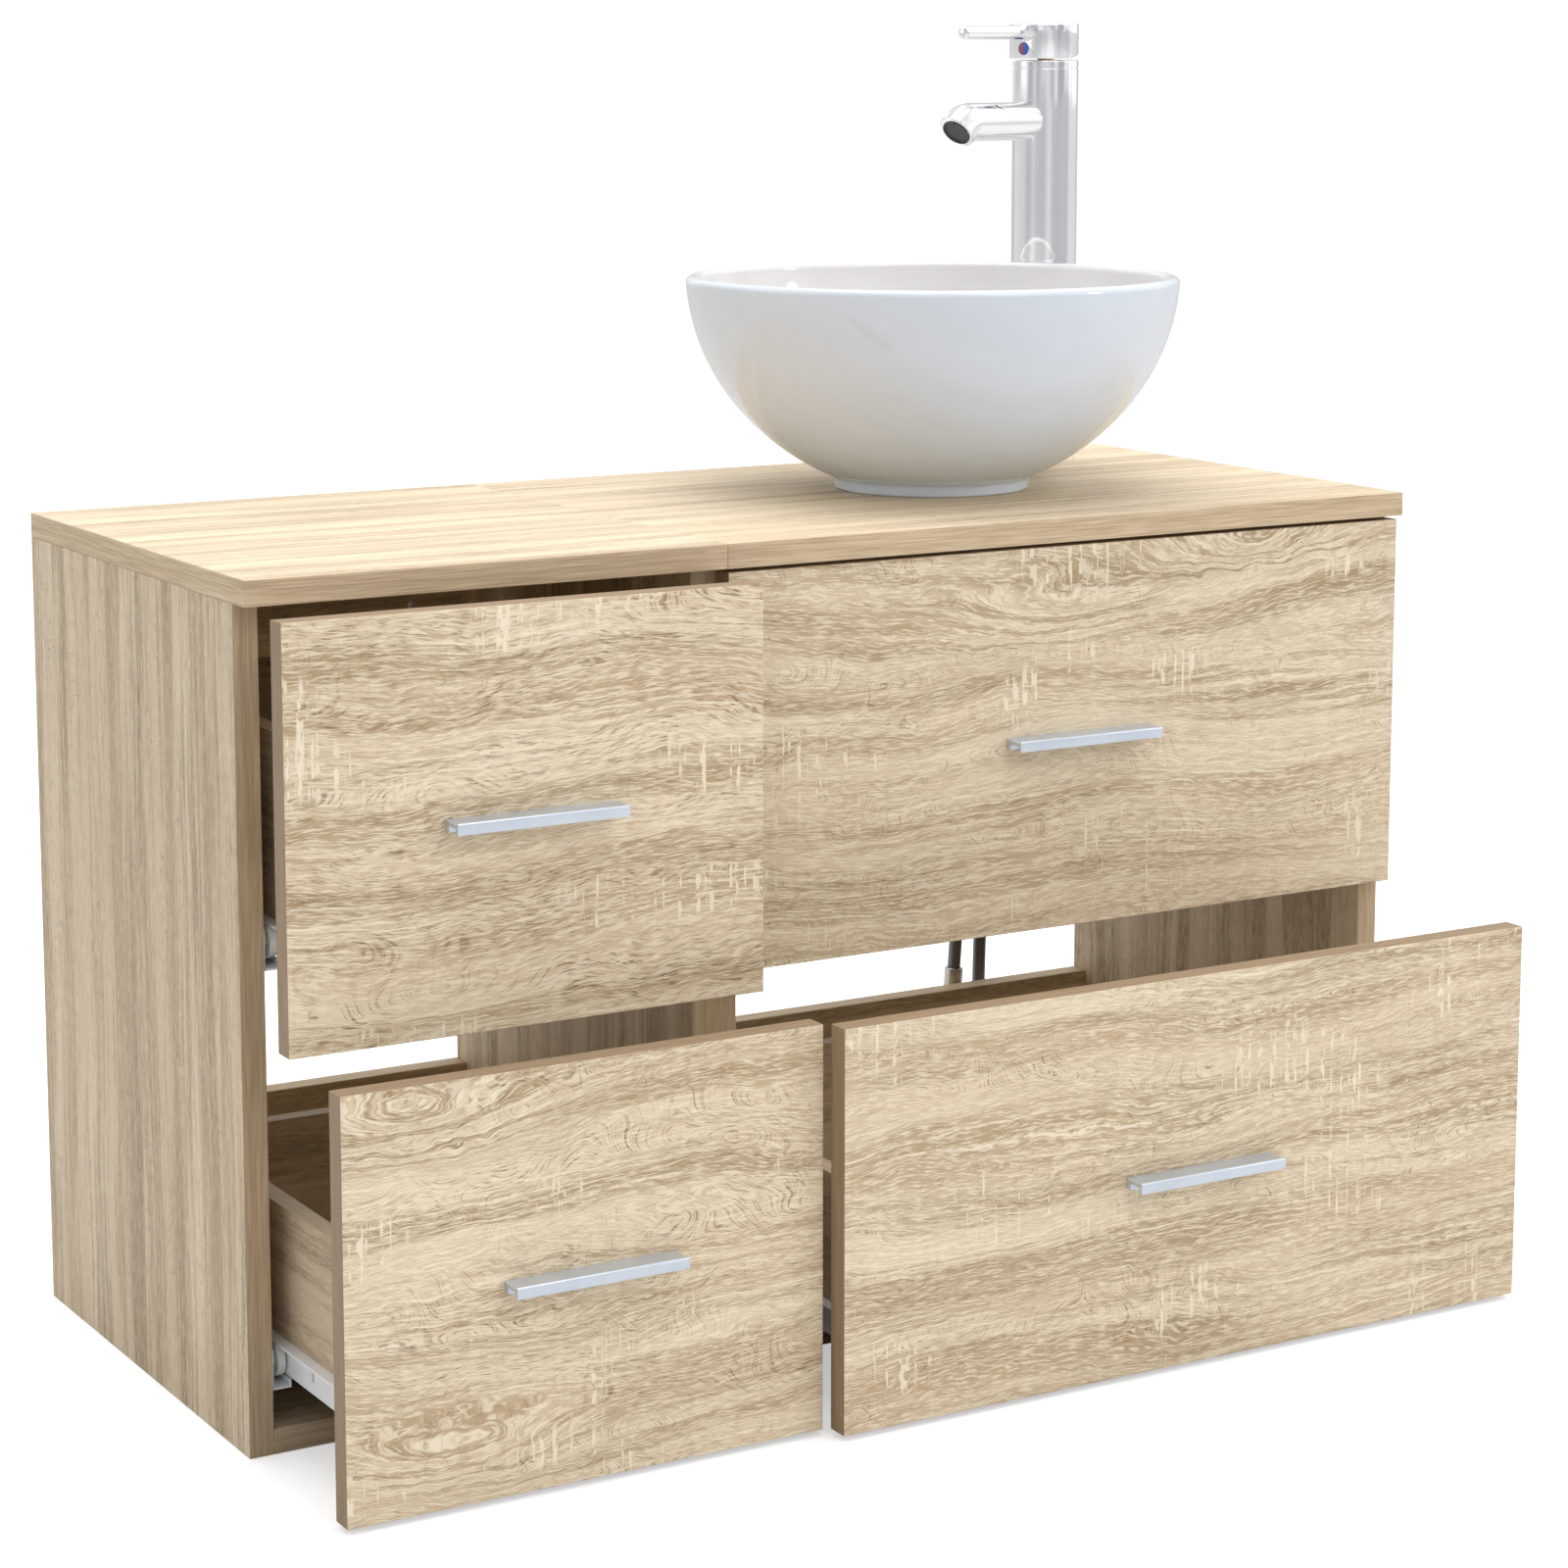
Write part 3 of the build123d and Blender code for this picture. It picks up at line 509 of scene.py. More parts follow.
class Tree:
    def __init__(self, tree):
        self.tree = tree

    def add(self, kind, inputs=None, **settings):
        node = self.tree.nodes.new("ShaderNode" + kind)
        for key, value in settings.items():
            setattr(node, key, value)
        for key, value in (inputs or {}).items():
            self.feed(node.inputs[key], value)
        return node

    def feed(self, socket, value):
        if isinstance(value, bpy.types.NodeSocket):
            self.tree.links.new(value, socket)
        else:
            socket.default_value = value

    def maths(self, operation, *values, clamp=False):
        node = self.add("Math", operation=operation, use_clamp=clamp)
        for socket, value in zip(node.inputs, values):
            self.feed(socket, value)
        return node.outputs[0]

    def noise(self, vector, scale, detail=2.0, roughness=0.5, distortion=0.0):
        inputs = {
            "Vector": vector,
            "Scale": scale,
            "Detail": detail,
            "Roughness": roughness,
            "Distortion": distortion,
        }
        return self.add("TexNoise", inputs).outputs["Fac"]

    def between(self, value, low, high, toLow=0.0, toHigh=1.0):
        # smooth step from toLow to toHigh as value goes from low to high
        inputs = {0: value, 1: low, 2: high, 3: toLow, 4: toHigh}
        node = self.add("MapRange", inputs, interpolation_type="SMOOTHSTEP", clamp=True)
        return node.outputs[0]

    def mixColour(self, share, first, second, way="MIX"):
        node = self.add("Mix", data_type="RGBA", blend_type=way, clamp_factor=True)
        self.feed(node.inputs[0], share)
        self.feed(node.inputs[6], first)
        self.feed(node.inputs[7], second)
        return node.outputs[2]

    def parts(self, vector):
        return self.add("SeparateXYZ", {0: vector}).outputs

    def join(self, x, y, z):
        return self.add("CombineXYZ", {0: x, 1: y, 2: z}).outputs[0]


# floor and light
studioSetup = {
    "floorSize": 90.0,
    "floorColour": (0.74, 0.74, 0.74, 1),
    "floorGlow": 0.50,  # seen by the camera alone, so that the floor is white but throws little light up
    "backdrop": (1.05, 1.05, 1.05, 1),
    "roomBright": (1.12, 1.12, 1.12, 1),
    "roomDim": (0.56, 0.57, 0.59, 1),  # soft grey bands between the windows, for the chrome
    "roomBands": 1.7,
    "worldStrength": 1.0,
    "lights": {
        "keyLight": {"place": (0.5, -3.1, 3.3), "size": 2.4, "power": 16, "aim": (0, 0, 0.3)},
        "topLight": {"place": (0.2, 0.2, 3.4), "size": 2.6, "power": 58, "aim": (0.1, 0, 0.4)},
        "windowLight": {"place": (2.6, -2.2, 1.7), "size": 0.5, "power": 10, "aim": (0.15, 0, 0.6)},
    },
}


def makeRoomLight():
    # the camera sees plain white, and the surfaces see a room with soft bands
    world = bpy.data.worlds.new("studio")
    world.use_nodes = True
    t = Tree(world.node_tree)
    direction = t.add("TexCoord").outputs["Generated"]
    flat = t.add("VectorMath", {0: direction, 1: (1, 1, 0.15)}, operation="MULTIPLY").outputs[0]
    bands = t.between(t.noise(flat, studioSetup["roomBands"], 1.0), 0.36, 0.60)
    room = t.mixColour(bands, studioSetup["roomDim"], studioSetup["roomBright"])
    seen = t.add("LightPath").outputs["Is Camera Ray"]
    glow = world.node_tree.nodes["Background"]
    t.feed(glow.inputs["Color"], t.mixColour(seen, room, studioSetup["backdrop"]))
    glow.inputs["Strength"].default_value = studioSetup["worldStrength"]
    bpy.context.scene.world = world


def makeStudio():
    bpy.ops.mesh.primitive_plane_add(size=studioSetup["floorSize"], location=(0, 0, 0))
    floor = settle(bpy.context.object, "studioFloor")
    paint = bpy.data.materials.new("studioFloor")
    paint.use_nodes = True
    shader = paint.node_tree.nodes["Principled BSDF"]
    shader.inputs["Base Color"].default_value = studioSetup["floorColour"]
    shader.inputs["Roughness"].default_value = 0.8
    t = Tree(paint.node_tree)
    seen = t.add("LightPath").outputs["Is Camera Ray"]
    shader.inputs["Emission Color"].default_value = (1, 1, 1, 1)
    t.feed(shader.inputs["Emission Strength"], t.maths("MULTIPLY", seen, studioSetup["floorGlow"]))
    floor.data.materials.append(paint)
    makeRoomLight()
    for name, setup in studioSetup["lights"].items():
        lamp = bpy.data.lights.new(name, "AREA")
        lamp.shape = "DISK"
        lamp.size = setup["size"]
        lamp.energy = setup["power"]
        light = bpy.data.objects.new(name, lamp)
        light.location = setup["place"]
        aim = Vector(setup["aim"]) - Vector(setup["place"])
        light.rotation_euler = aim.to_track_quat("-Z", "Y").to_euler()
        bpy.context.collection.objects.link(light)
    bpy.context.scene.view_settings.view_transform = "Standard"


deselectAll()
makeStudio()
print("studio set")


def newGroup(name, inputs, outputs):
    group = bpy.data.node_groups.new(name, "ShaderNodeTree")
    for label, kind, value in inputs:
        socket = group.interface.new_socket(name=label, in_out="INPUT", socket_type="NodeSocket" + kind)
        if value is not None:
            socket.default_value = value
    for label, kind in outputs:
        group.interface.new_socket(name=label, in_out="OUTPUT", socket_type="NodeSocket" + kind)
    entry = group.nodes.new("NodeGroupInput")
    leave = group.nodes.new("NodeGroupOutput")
    return group, Tree(group), entry, leave


def makeOakGrain():
    # sawn oak: x runs along the grain and y across it, both in millimetres
    inputs = [
        ("Vector", "Vector", None),
        ("Wander", "Float", 1.0),
        ("SawMarks", "Float", 1.0),
        ("KnotA", "Vector", None),
        ("KnotB", "Vector", None),
    ]
    outputs = [("Tone", "Float"), ("Hue", "Float"), ("Cream", "Float"), ("Pores", "Float"), ("Saw", "Float")]
    group, t, entry, leave = newGroup("oakGrain", inputs, outputs)
    x, y, z = t.parts(entry.outputs["Vector"])
    wander = entry.outputs["Wander"]

    def stretched(along, across, shift=0.0, xs=x, ys=y):
        return t.join(
            t.maths("MULTIPLY", xs, 1 / along),
            t.maths("MULTIPLY_ADD", ys, 1 / across, shift),
            z,
        )

    # the grain leans and swells, and closes in rings round one knot
    sweep = t.maths("SUBTRACT", t.noise(stretched(240, 85, 3.1), 1.0, 1.5), 0.5)
    ripple = t.maths("SUBTRACT", t.noise(stretched(34, 15, 7.7), 1.0, 2.0), 0.5)
    bent = t.maths("MULTIPLY_ADD", t.maths("MULTIPLY", sweep, wander), 52.0, y)
    bent = t.maths("MULTIPLY_ADD", t.maths("MULTIPLY", ripple, wander), 6.0, bent)
    figure = 0.0
    for knot in ("KnotA", "KnotB"):
        knotX, knotY, knotSize = t.parts(entry.outputs[knot])
        offX = t.maths("DIVIDE", t.maths("SUBTRACT", x, knotX), 74.0)
        offY = t.maths("DIVIDE", t.maths("SUBTRACT", y, knotY), 21.0)
        offY = t.maths("MULTIPLY_ADD", ripple, 1.1, offY)
        spread = t.maths("ADD", t.maths("MULTIPLY", offX, offX), t.maths("MULTIPLY", offY, offY))
        swell = t.maths("MULTIPLY", t.maths("EXPONENT", t.maths("MULTIPLY", spread, -1.0)), knotSize)
        bent = t.maths("ADD", bent, swell)
        figure = t.maths("ADD", figure, t.between(swell, 3.0, 13.0), clamp=True)

    # year rings, which show as bands round a knot
    jitter = t.noise(stretched(240, 26, 9.2, ys=bent), 1.0, 2.0)
    phase = t.maths("MULTIPLY_ADD", bent, 1 / 6.2, t.maths("MULTIPLY", jitter, 3.4))
    rings = t.maths("PINGPONG", phase, 0.5)
    ringBands = t.between(t.maths("PINGPONG", phase, 1.0), 0.25, 0.70)

    # broad bands, and a slower change of hue
    bands = t.noise(stretched(760, 23, 1.3, ys=bent), 1.0, 3.0, 0.6)
    fine = t.noise(stretched(120, 4.6, 5.1, ys=bent), 1.0, 3.0, 0.65)
    tone = t.between(t.maths("MULTIPLY_ADD", fine, 0.38, t.maths("MULTIPLY", bands, 0.62)), 0.40, 0.58)
    knotTone = t.maths("MULTIPLY", t.maths("SUBTRACT", ringBands, tone), t.maths("MULTIPLY", figure, 0.8))
    t.feed(leave.inputs["Tone"], t.maths("ADD", tone, knotTone, clamp=True))
    t.feed(leave.inputs["Hue"], t.between(t.noise(stretched(330, 40, 6.1, ys=bent), 1.0, 2.0), 0.40, 0.60))

    # the rings' pale broken lines, in patches
    lines = t.between(rings, 0.33, 0.47)
    crumbs = t.between(t.noise(stretched(8, 1.5, 2.4, ys=bent), 1.0, 2.0, 0.6), 0.36, 0.56)
    patches = t.between(t.noise(stretched(190, 34, 4.4), 1.0, 1.0), 0.53, 0.62)
    patches = t.maths("MAXIMUM", patches, figure)
    pale = t.maths("MULTIPLY", t.maths("MULTIPLY", lines, crumbs), patches)
    fibres = t.between(t.noise(stretched(10.5, 0.85, 6.6, ys=bent), 1.0, 2.0, 0.55), 0.49, 0.64)
    stout = t.between(t.noise(stretched(16, 1.7, 1.6, ys=bent), 1.0, 2.0, 0.6), 0.53, 0.68)
    fibres = t.maths("MAXIMUM", t.maths("MULTIPLY", fibres, 0.75), t.maths("MULTIPLY", stout, 0.7))
    t.feed(leave.inputs["Cream"], t.maths("MAXIMUM", pale, fibres))

    # short dark pores, some of them leaning
    lean = t.maths("MULTIPLY", t.maths("SUBTRACT", t.noise(stretched(110, 55, 8.8), 1.0, 1.0), 0.46), 0.35)
    slanted = t.maths("MULTIPLY_ADD", x, lean, bent)
    dashes = t.between(t.noise(stretched(8.5, 0.95, 0.6, ys=slanted), 1.0, 2.0, 0.5), 0.52, 0.66)
    deep = t.between(t.noise(stretched(13, 1.5, 4.9, ys=slanted), 1.0, 2.0, 0.5), 0.57, 0.68)
    dense = t.between(t.noise(stretched(130, 30, 2.9, ys=bent), 1.0, 2.0), 0.40, 0.60, 0.35, 1.0)
    pores = t.maths("MAXIMUM", t.maths("MULTIPLY", dashes, 0.7), deep)
    t.feed(leave.inputs["Pores"], t.maths("MULTIPLY", pores, dense))

    # saw marks stand across the grain
    strokes = t.between(t.noise(stretched(3.1, 170, 1.9), 1.0, 1.0), 0.53, 0.63)
    broken = t.between(t.noise(stretched(3.4, 9.0, 3.3), 1.0, 2.0), 0.44, 0.56)
    areas = t.between(t.noise(stretched(105, 62, 5.5), 1.0, 1.5), 0.56, 0.64)
    saw = t.maths("MULTIPLY", t.maths("MULTIPLY", strokes, broken), areas)
    t.feed(leave.inputs["Saw"], t.maths("MULTIPLY", saw, entry.outputs["SawMarks"]))
    return group


def makeEdgeBand():
    # printed edging: straight fine lines along the edge
    inputs = [("Vector", "Vector", None)]
    group, t, entry, leave = newGroup("edgeBand", inputs, [("Tone", "Float")])
    x, y, z = t.parts(entry.outputs["Vector"])
    lines = t.join(t.maths("MULTIPLY", x, 1 / 34), t.maths("MULTIPLY", y, 1 / 0.9), z)
    broad = t.join(t.maths("MULTIPLY", x, 1 / 110), t.maths("MULTIPLY", y, 1 / 4), z)
    broadTone = t.maths("MULTIPLY", t.noise(broad, 1.0), 0.4)
    tone = t.maths("MULTIPLY_ADD", t.noise(lines, 1.0, 2.0), 0.6, broadTone)
    t.feed(leave.inputs["Tone"], t.between(tone, 0.34, 0.66))
    return group


def makeHandling():
    # faint smears and dust that change how a surface shines
    inputs = [("Size", "Float", 40.0), ("Low", "Float", 0.1), ("High", "Float", 0.2), ("Wave", "Float", 0.04)]
    outputs = [("Roughness", "Float"), ("Smear", "Float"), ("Normal", "Vector")]
    group, t, entry, leave = newGroup("handling", inputs, outputs)
    spot = t.add("TexCoord").outputs["Object"]
    cloud = t.noise(spot, entry.outputs["Size"], 3.0, 0.55)
    smear = t.between(cloud, 0.35, 0.70)
    node = t.add("MapRange", {0: smear, 3: entry.outputs["Low"], 4: entry.outputs["High"]})
    t.feed(leave.inputs["Roughness"], node.outputs[0])
    t.feed(leave.inputs["Smear"], smear)
    waves = t.noise(spot, t.maths("MULTIPLY", entry.outputs["Size"], 0.5), 1.0)
    bump = t.add("Bump", {"Strength": entry.outputs["Wave"], "Distance": 0.0006, "Height": waves})
    t.feed(leave.inputs["Normal"], bump.outputs[0])
    return group


oakGrain = makeOakGrain()
edgeBand = makeEdgeBand()
handling = makeHandling()


def newMaterial(name):
    material = bpy.data.materials.new(name)
    material.use_nodes = True
    t = Tree(material.node_tree)
    return material, t, material.node_tree.nodes["Principled BSDF"]


def place(t, group, **inputs):
    node = t.add("Group")
    node.node_tree = group
    for key, value in inputs.items():
        t.feed(node.inputs[key], value)
    return node


# oak laminates: the palette of each kind of face
oakSetup = {
    "front": {
        "dark": (180, 155, 120),
        "light": (230, 211, 181),
        "warm": (214, 189, 157),
        "cream": (248, 235, 210),
        "pore": (134, 109, 78),
        "edge": ((146, 124, 98), (162, 139, 112)),
        "wander": 1.0,
        "saw": 1.0,
        "pores": 0.85,
        "creams": 0.85,
    },
    "top": {
        "dark": (184, 161, 129),
        "light": (232, 213, 183),
        "warm": (218, 195, 160),
        "cream": (246, 234, 210),
        "pore": (190, 166, 132),
        "edge": ((183, 159, 128), (217, 195, 163)),
        "wander": 0.3,
        "saw": 0.12,
        "pores": 0.4,
        "creams": 0.5,
    },
    "side": {
        "dark": (164, 143, 114),
        "light": (222, 203, 174),
        "warm": (198, 175, 144),
        "cream": (240, 224, 196),
        "pore": (144, 123, 96),
        # the side boards' edging is lifted lighter: painted light against the shade that the drawer fronts
        # throw on these edges
        "edge": ((168, 146, 117), (196, 174, 143)),
        "wander": 0.3,
        "saw": 0.4,
        "pores": 0.5,
        "creams": 0.55,
    },
    "inner": {
        "dark": (174, 153, 123),
        "light": (234, 213, 181),
        "warm": (211, 187, 155),
        "cream": (232, 215, 186),
        "pore": (132, 112, 86),
        "edge": ((170, 148, 120), (198, 177, 147)),
        "wander": 0.5,
        "saw": 0.3,
        "pores": 0.6,
        "creams": 0.6,
    },
    "drawer": {
        "dark": (164, 144, 117),
        "light": (204, 184, 155),
        "warm": (188, 166, 136),
        "cream": (224, 207, 178),
        "pore": (136, 116, 90),
        "edge": ((178, 157, 128), (206, 186, 156)),
        "wander": 0.4,
        "saw": 0.0,
        "pores": 0.6,
        "creams": 0.5,
    },
}
oakAxes = {"across": "XZY", "flat": "XYZ", "upright": "ZYX", "deep": "YZX"}  # grain, across, thickness
noKnots = ((0, 0, 0), (0, 0, 0))


def oakMaterial(name, kind, lay, shift, knots):
    setup = oakSetup[kind]
    material, t, shader = newMaterial(name)
    coordinates = t.add("TexCoord")
    moved = t.add("Mapping", {"Vector": coordinates.outputs["Object"], "Location": shift})
    scaled = t.add("VectorMath", {0: moved.outputs[0], 1: (1000, 1000, 1000)}, operation="MULTIPLY")
    axis = dict(zip("XYZ", t.parts(scaled.outputs[0])))
    grain, across, thick = (axis[letter] for letter in oakAxes[lay])
    depth = t.maths("MULTIPLY", thick, 0.01)
    drawn = {"Wander": setup["wander"], "SawMarks": setup["saw"], "KnotA": knots[0], "KnotB": knots[1]}
    oak = place(t, oakGrain, Vector=t.join(grain, across, depth), **drawn).outputs
    colour = t.mixColour(oak["Tone"], paintColour(*setup["dark"]), paintColour(*setup["light"]))
    colour = t.mixColour(t.maths("MULTIPLY", oak["Hue"], 0.45), colour, paintColour(*setup["warm"]))
    pores = t.maths("MULTIPLY", oak["Pores"], setup["pores"])
    colour = t.mixColour(pores, colour, paintColour(*setup["pore"]))
    creams = t.maths("MULTIPLY", t.maths("MAXIMUM", oak["Cream"], oak["Saw"]), setup["creams"])
    colour = t.mixColour(creams, colour, paintColour(*setup["cream"]))

    # the narrow faces carry edging
    facing = dict(zip("XYZ", t.parts(coordinates.outputs["Normal"])))[oakAxes[lay][2]]
    isFace = t.between(t.maths("ABSOLUTE", facing), 0.55, 0.75)
    along = t.maths("ADD", grain, across)
    edging = place(t, edgeBand, Vector=t.join(along, thick, 0.0)).outputs["Tone"]
    edgeDark, edgeLight = (paintColour(*c) for c in setup["edge"])
    colour = t.mixColour(isFace, t.mixColour(edging, edgeDark, edgeLight), colour)
    t.feed(shader.inputs["Base Color"], colour)
    t.feed(shader.inputs["Roughness"], t.between(creams, 0.0, 1.0, 0.48, 0.62))
    relief = t.maths("SUBTRACT", t.maths("MULTIPLY", creams, 0.35), pores)
    relief = t.maths("MULTIPLY", relief, isFace)
    bump = t.add("Bump", {"Strength": 0.4, "Distance": 0.0003, "Height": relief})
    t.feed(shader.inputs["Normal"], bump.outputs[0])
    shader.inputs["Specular IOR Level"].default_value = 0.25
    return material


oakBoards = {
    "left_upper_front": ("front", "across", (0.00, 0, 0.00)),
    "left_lower_front": ("front", "across", (0.83, 0, 0.41)),
    "right_lower_front": ("front", "across", (1.91, 0, 0.93)),
    "false_front": ("front", "across", (3.17, 0, 1.37)),
    "left_top": ("top", "flat", (0.4, 0.2, 0)),
    "right_top": ("top", "flat", (2.3, 0.9, 0)),
    "left_outer_side": ("side", "upright", (0, 0.3, 0.2)),
    "left_inner_side": ("inner", "upright", (0, 0.9, 1.4)),
    "right_inner_side": ("inner", "upright", (0, 1.7, 2.6)),
    "right_outer_side": ("side", "upright", (0, 2.5, 0.8)),
    "left_bottom": ("inner", "flat", (0.7, 1.3, 0)),
    "right_bottom": ("inner", "flat", (1.6, 2.2, 0)),
    "left_back_rails": ("inner", "across", (5.1, 0, 0.2)),
    "right_back_rails": ("inner", "across", (6.3, 0, 2.2)),
}
for drawerIndex, drawerName in enumerate(("left_upper", "left_lower", "right_lower")):
    shift = 1.1 * (drawerIndex + 1)
    oakBoards[drawerName + "_sides"] = ("drawer", "deep", (0, shift, 0.5 * shift))
    oakBoards[drawerName + "_back"] = ("drawer", "across", (shift, 0, 0.7 * shift))


def setMaterial(piece, material):
    piece.data.materials.clear()
    piece.data.materials.append(material)


oakKnots = {  # along the grain, across it, and how strongly the rings close, in mm
    "false_front": ((3455, 1850, 34), (3300, 1812, 24)),
    "left_lower_front": ((478, 632, 26), (505, 445, 24)),
    "left_upper_front": ((100, 268, 16), (0, 0, 0)),
}
for nodeName, (kind, lay, shift) in oakBoards.items():
    knots = oakKnots.get(nodeName, noKnots)
    setMaterial(nodes[nodeName], oakMaterial("oak_" + nodeName, kind, lay, shift, knots))
print("oak boards finished")


# plain finishes
# painted light for the glaze: the outside and the foot are tinted cooler, and the foot lighter, to cancel
# warm bounce light and shade
glazePaintedLightSetup = {
    "inside": (224, 222, 220),
    "outside": (215, 221, 229),
    "foot": (230, 240, 250),
    "footHeight": 75 * mm,
    "turnOver": 10 * mm,  # how softly the inside becomes the outside at the rim
}
# painted reflection for the chrome: a dim and a bright tone, and the size of their streaks
paintedReflectionSetup = {"dim": (220, 221, 224), "bright": (255, 255, 255), "streaks": 2.6}


def glazePaintedLightTone(t):
    # painted light: neutral inside the bowl, and a little cooler outside and lighter and cooler toward the
    # foot, set against the warm light bounced from the oak and the shade low on the bowl
    setup = glazePaintedLightSetup
    coordinates = t.add("TexCoord")
    centre = (*basinSetup["place"], counterTop)
    off = t.add("VectorMath", {0: coordinates.outputs["Object"], 1: centre}, operation="SUBTRACT").outputs[0]
    x, y, z = t.parts(off)
    outward = {0: t.join(x, y, 0.0), 1: coordinates.outputs["Normal"]}
    outward = t.add("VectorMath", outward, operation="DOT_PRODUCT").outputs["Value"]
    inside, outside, foot = (paintColour(*setup[key]) for key in ("inside", "outside", "foot"))
    outer = t.mixColour(t.between(z, 0.0, setup["footHeight"]), foot, outside)
    return t.mixColour(t.between(outward, -setup["turnOver"], setup["turnOver"]), inside, outer)


def paintedChromeReflection(t):
    # painted reflection: soft bright and grey streaks in the plating's colour that follow the way that it
    # faces, standing in for the room reflected in the chrome
    x, y, z = t.parts(t.add("TexCoord").outputs["Normal"])
    cloud = t.noise(t.join(x, y, t.maths("MULTIPLY", z, 0.25)), paintedReflectionSetup["streaks"], 1.0)
    dim, bright = (paintColour(*paintedReflectionSetup[key]) for key in ("dim", "bright"))
    return t.mixColour(t.between(cloud, 0.38, 0.60), dim, bright)


# colour or what makes it, roughness from low to high, metal, coat, smear tone and surface waves
finishSetup = {
    "glazedCeramic": (glazePaintedLightTone, 0.04, 0.07, 0.0, 0.15, 0.985, 0.004),
    "chrome": (paintedChromeReflection, 0.03, 0.06, 1.0, 0.0, 0.97, 0.006),
    "satinAluminium": ((208, 216, 227), 0.28, 0.36, 0.6, 0.0, 0.95, 0.03),
    "runnerEnamel": ((236, 238, 240), 0.28, 0.38, 0.0, 0.2, 0.96, 0.04),
    "zincSteel": ((186, 188, 186), 0.30, 0.45, 1.0, 0.0, 0.88, 0.06),
    "turnedBrass": ((196, 162, 98), 0.22, 0.34, 1.0, 0.0, 0.88, 0.04),
    "nickelBrass": ((190, 188, 182), 0.16, 0.28, 1.0, 0.0, 0.92, 0.03),
    "rollerNylon": ((226, 226, 218), 0.38, 0.50, 0.0, 0.0, 0.92, 0.05),
    "trapPlastic": ((232, 232, 230), 0.22, 0.34, 0.0, 0.1, 0.95, 0.03),
    "cartridgeResin": ((206, 204, 196), 0.35, 0.50, 0.0, 0.0, 0.93, 0.05),
    "drawerBase": ((196, 176, 146), 0.50, 0.65, 0.0, 0.0, 0.94, 0.08),
}
smearSize = 60.0
coatRoughness = 0.04


def plainFinish(name):
    colour, low, high, metal, coat, smeared, wave = finishSetup[name]
    material, t, shader = newMaterial(name)
    touch = place(t, handling, Size=smearSize, Low=low, High=high, Wave=wave).outputs
    base = colour(t) if callable(colour) else t.join(*paintColour(*colour)[:3])
    worn = t.add("VectorMath", {0: base, "Scale": smeared}, operation="SCALE").outputs[0]
    t.feed(shader.inputs["Base Color"], t.mixColour(touch["Smear"], base, worn))
    t.feed(shader.inputs["Roughness"], touch["Roughness"])
    t.feed(shader.inputs["Normal"], touch["Normal"])
    shader.inputs["Metallic"].default_value = metal
    shader.inputs["Coat Weight"].default_value = coat
    shader.inputs["Coat Roughness"].default_value = coatRoughness
    return material


def aeratorFinish():
    # a fine square mesh painted in the mouth, laid on the spout's own axes; the holes between the wires are
    # painted dark, painted shade for the hollow behind the mesh
    material, t, shader = newMaterial("aeratorMesh")
    spot = t.add("TexCoord").outputs["Object"]
    along = t.add("VectorMath", {0: spot, 1: tapAcross}, operation="DOT_PRODUCT").outputs["Value"]
    down = t.add("VectorMath", {0: spot, 1: tapAhead}, operation="DOT_PRODUCT").outputs["Value"]
    wires = [t.maths("PINGPONG", t.maths("MULTIPLY", way, 1100.0), 0.5) for way in (along, down)]
    wire = t.between(t.maths("MAXIMUM", *wires), 0.30, 0.44)
    # painted shade in the holes, and the wires' own grey
    paintedShadeGap, metal = paintColour(38, 40, 42), paintColour(112, 115, 118)
    t.feed(shader.inputs["Base Color"], t.mixColour(wire, paintedShadeGap, metal))
    t.feed(shader.inputs["Roughness"], t.between(wire, 0.0, 1.0, 0.75, 0.42))
    bump = t.add("Bump", {"Strength": 0.6, "Distance": 0.0003, "Height": wire})
    t.feed(shader.inputs["Normal"], bump.outputs[0])
    shader.inputs["Metallic"].default_value = 0.4
    return material


finishes = {name: plainFinish(name) for name in finishSetup}


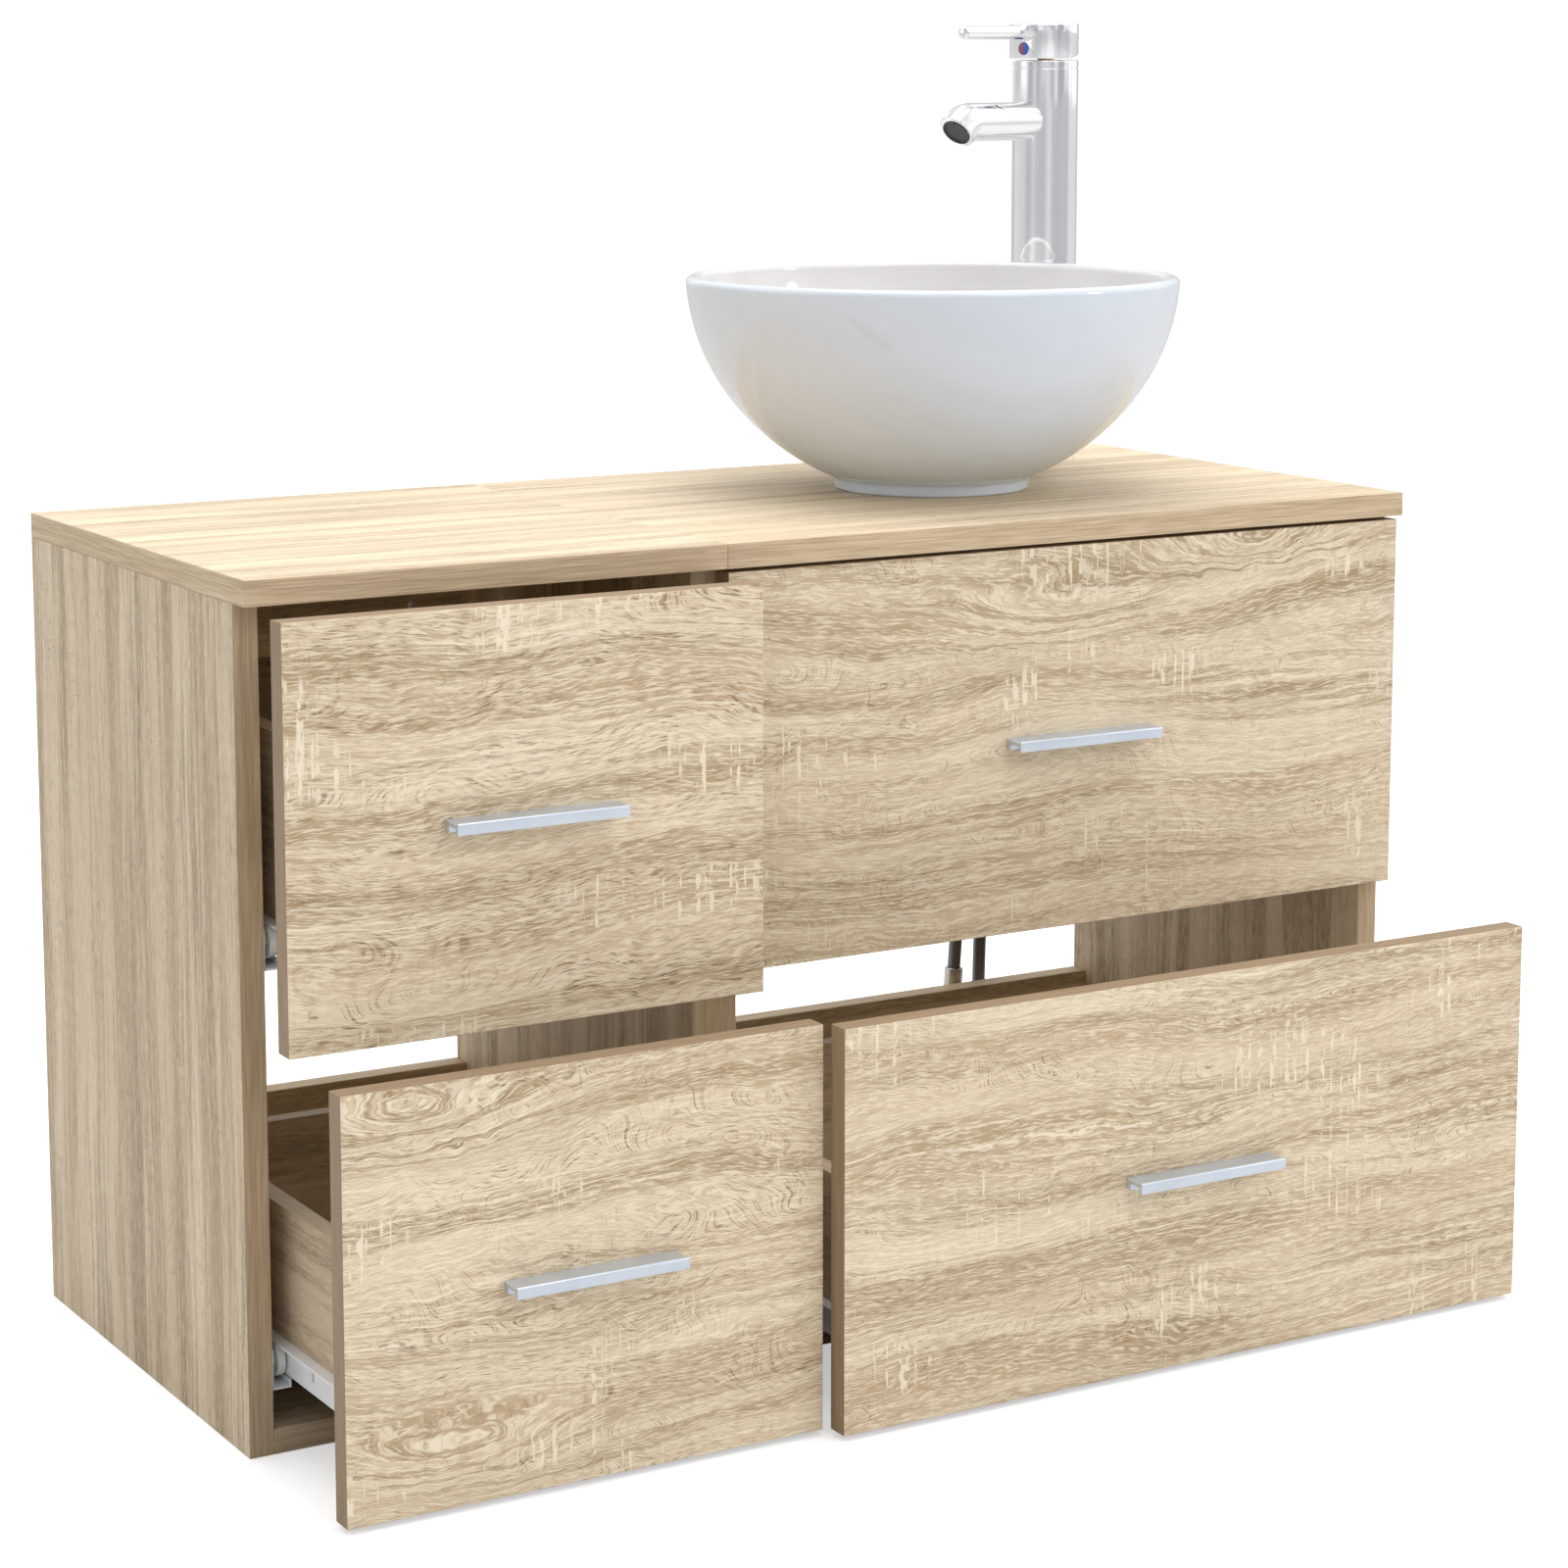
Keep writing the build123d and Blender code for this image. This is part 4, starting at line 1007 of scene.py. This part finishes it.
def markFinish():
    # red on one half and blue on the other
    material, t, shader = newMaterial("tapMark")
    spot = t.add("TexCoord").outputs["Object"]
    centre = onTap(tapSetup["leverReach"][0], tapSetup["markHeight"])
    off = t.add("VectorMath", {0: spot, 1: centre}, operation="SUBTRACT").outputs[0]
    aside = t.add("VectorMath", {0: off, 1: tapAcross}, operation="DOT_PRODUCT").outputs["Value"]
    half = t.between(aside, -0.1 * mm, 0.1 * mm)
    t.feed(shader.inputs["Base Color"], t.mixColour(half, paintColour(150, 62, 78), paintColour(40, 84, 176)))
    t.feed(shader.inputs["Roughness"], t.between(t.noise(spot, 900.0), 0.3, 0.7, 0.16, 0.26))
    shader.inputs["Coat Weight"].default_value = 0.5
    return material


finishes["tapMark"] = markFinish()
finishes["aeratorMesh"] = aeratorFinish()


def braidFinish():
    material, t, shader = newMaterial("braidedSteel")
    crown = t.add("Attribute", attribute_name="braidCrown").outputs["Fac"]
    wires = t.between(crown, 0.25, 0.85)
    # the dark colour in the low parts of the braid is painted shade in the crevices between the strands; the
    # crowns carry the steel's grey
    paintedShadeGap, metal = paintColour(40, 42, 42), paintColour(150, 152, 150)
    t.feed(shader.inputs["Base Color"], t.mixColour(wires, paintedShadeGap, metal))
    t.feed(shader.inputs["Roughness"], t.between(crown, 0.2, 0.9, 0.6, 0.34))
    shader.inputs["Metallic"].default_value = 0.9
    return material


finishes["braidedSteel"] = braidFinish()
for hose in hoses.values():
    setMaterial(hose, finishes["braidedSteel"])

for piece, finish in (
    (basinBowl, "glazedCeramic"),
    (tapBody, "chrome"),
    (tapCap, "chrome"),
    (tapLever, "chrome"),
    (tapAerator, "aeratorMesh"),
    (tapMark, "tapMark"),
):
    setMaterial(piece, finishes[finish])
for bar in handles:
    setMaterial(bar, finishes["satinAluminium"])

nodeFinishes = {
    "handle": "satinAluminium",
    "screws": "zincSteel",
    "fixings": "zincSteel",
    "runners": "runnerEnamel",
    "rollers": "rollerNylon",
    "base": "drawerBase",
    "nut": "nickelBrass",
}
for nodeName, node in nodes.items():
    ending = nodeName.rsplit("_", 1)[-1]
    if ending in nodeFinishes:
        setMaterial(node, finishes[nodeFinishes[ending]])
for nodeName, finish in {
    "basin_bowl": "glazedCeramic",
    "waste_flange": "chrome",
    "waste_plug": "chrome",
    "waste_nut": "turnedBrass",
    "trap_body": "trapPlastic",
    "trap_cup": "trapPlastic",
    "trap_outlet": "trapPlastic",
    "tap_body": "chrome",
    "tap_aerator": "aeratorMesh",
    "tap_cartridge": "cartridgeResin",
    "tap_stem": "turnedBrass",
    "tap_cap": "chrome",
    "tap_lever": "chrome",
    "tap_fixing": "zincSteel",
}.items():
    setMaterial(nodes[nodeName], finishes[finish])
print("hardware finished")
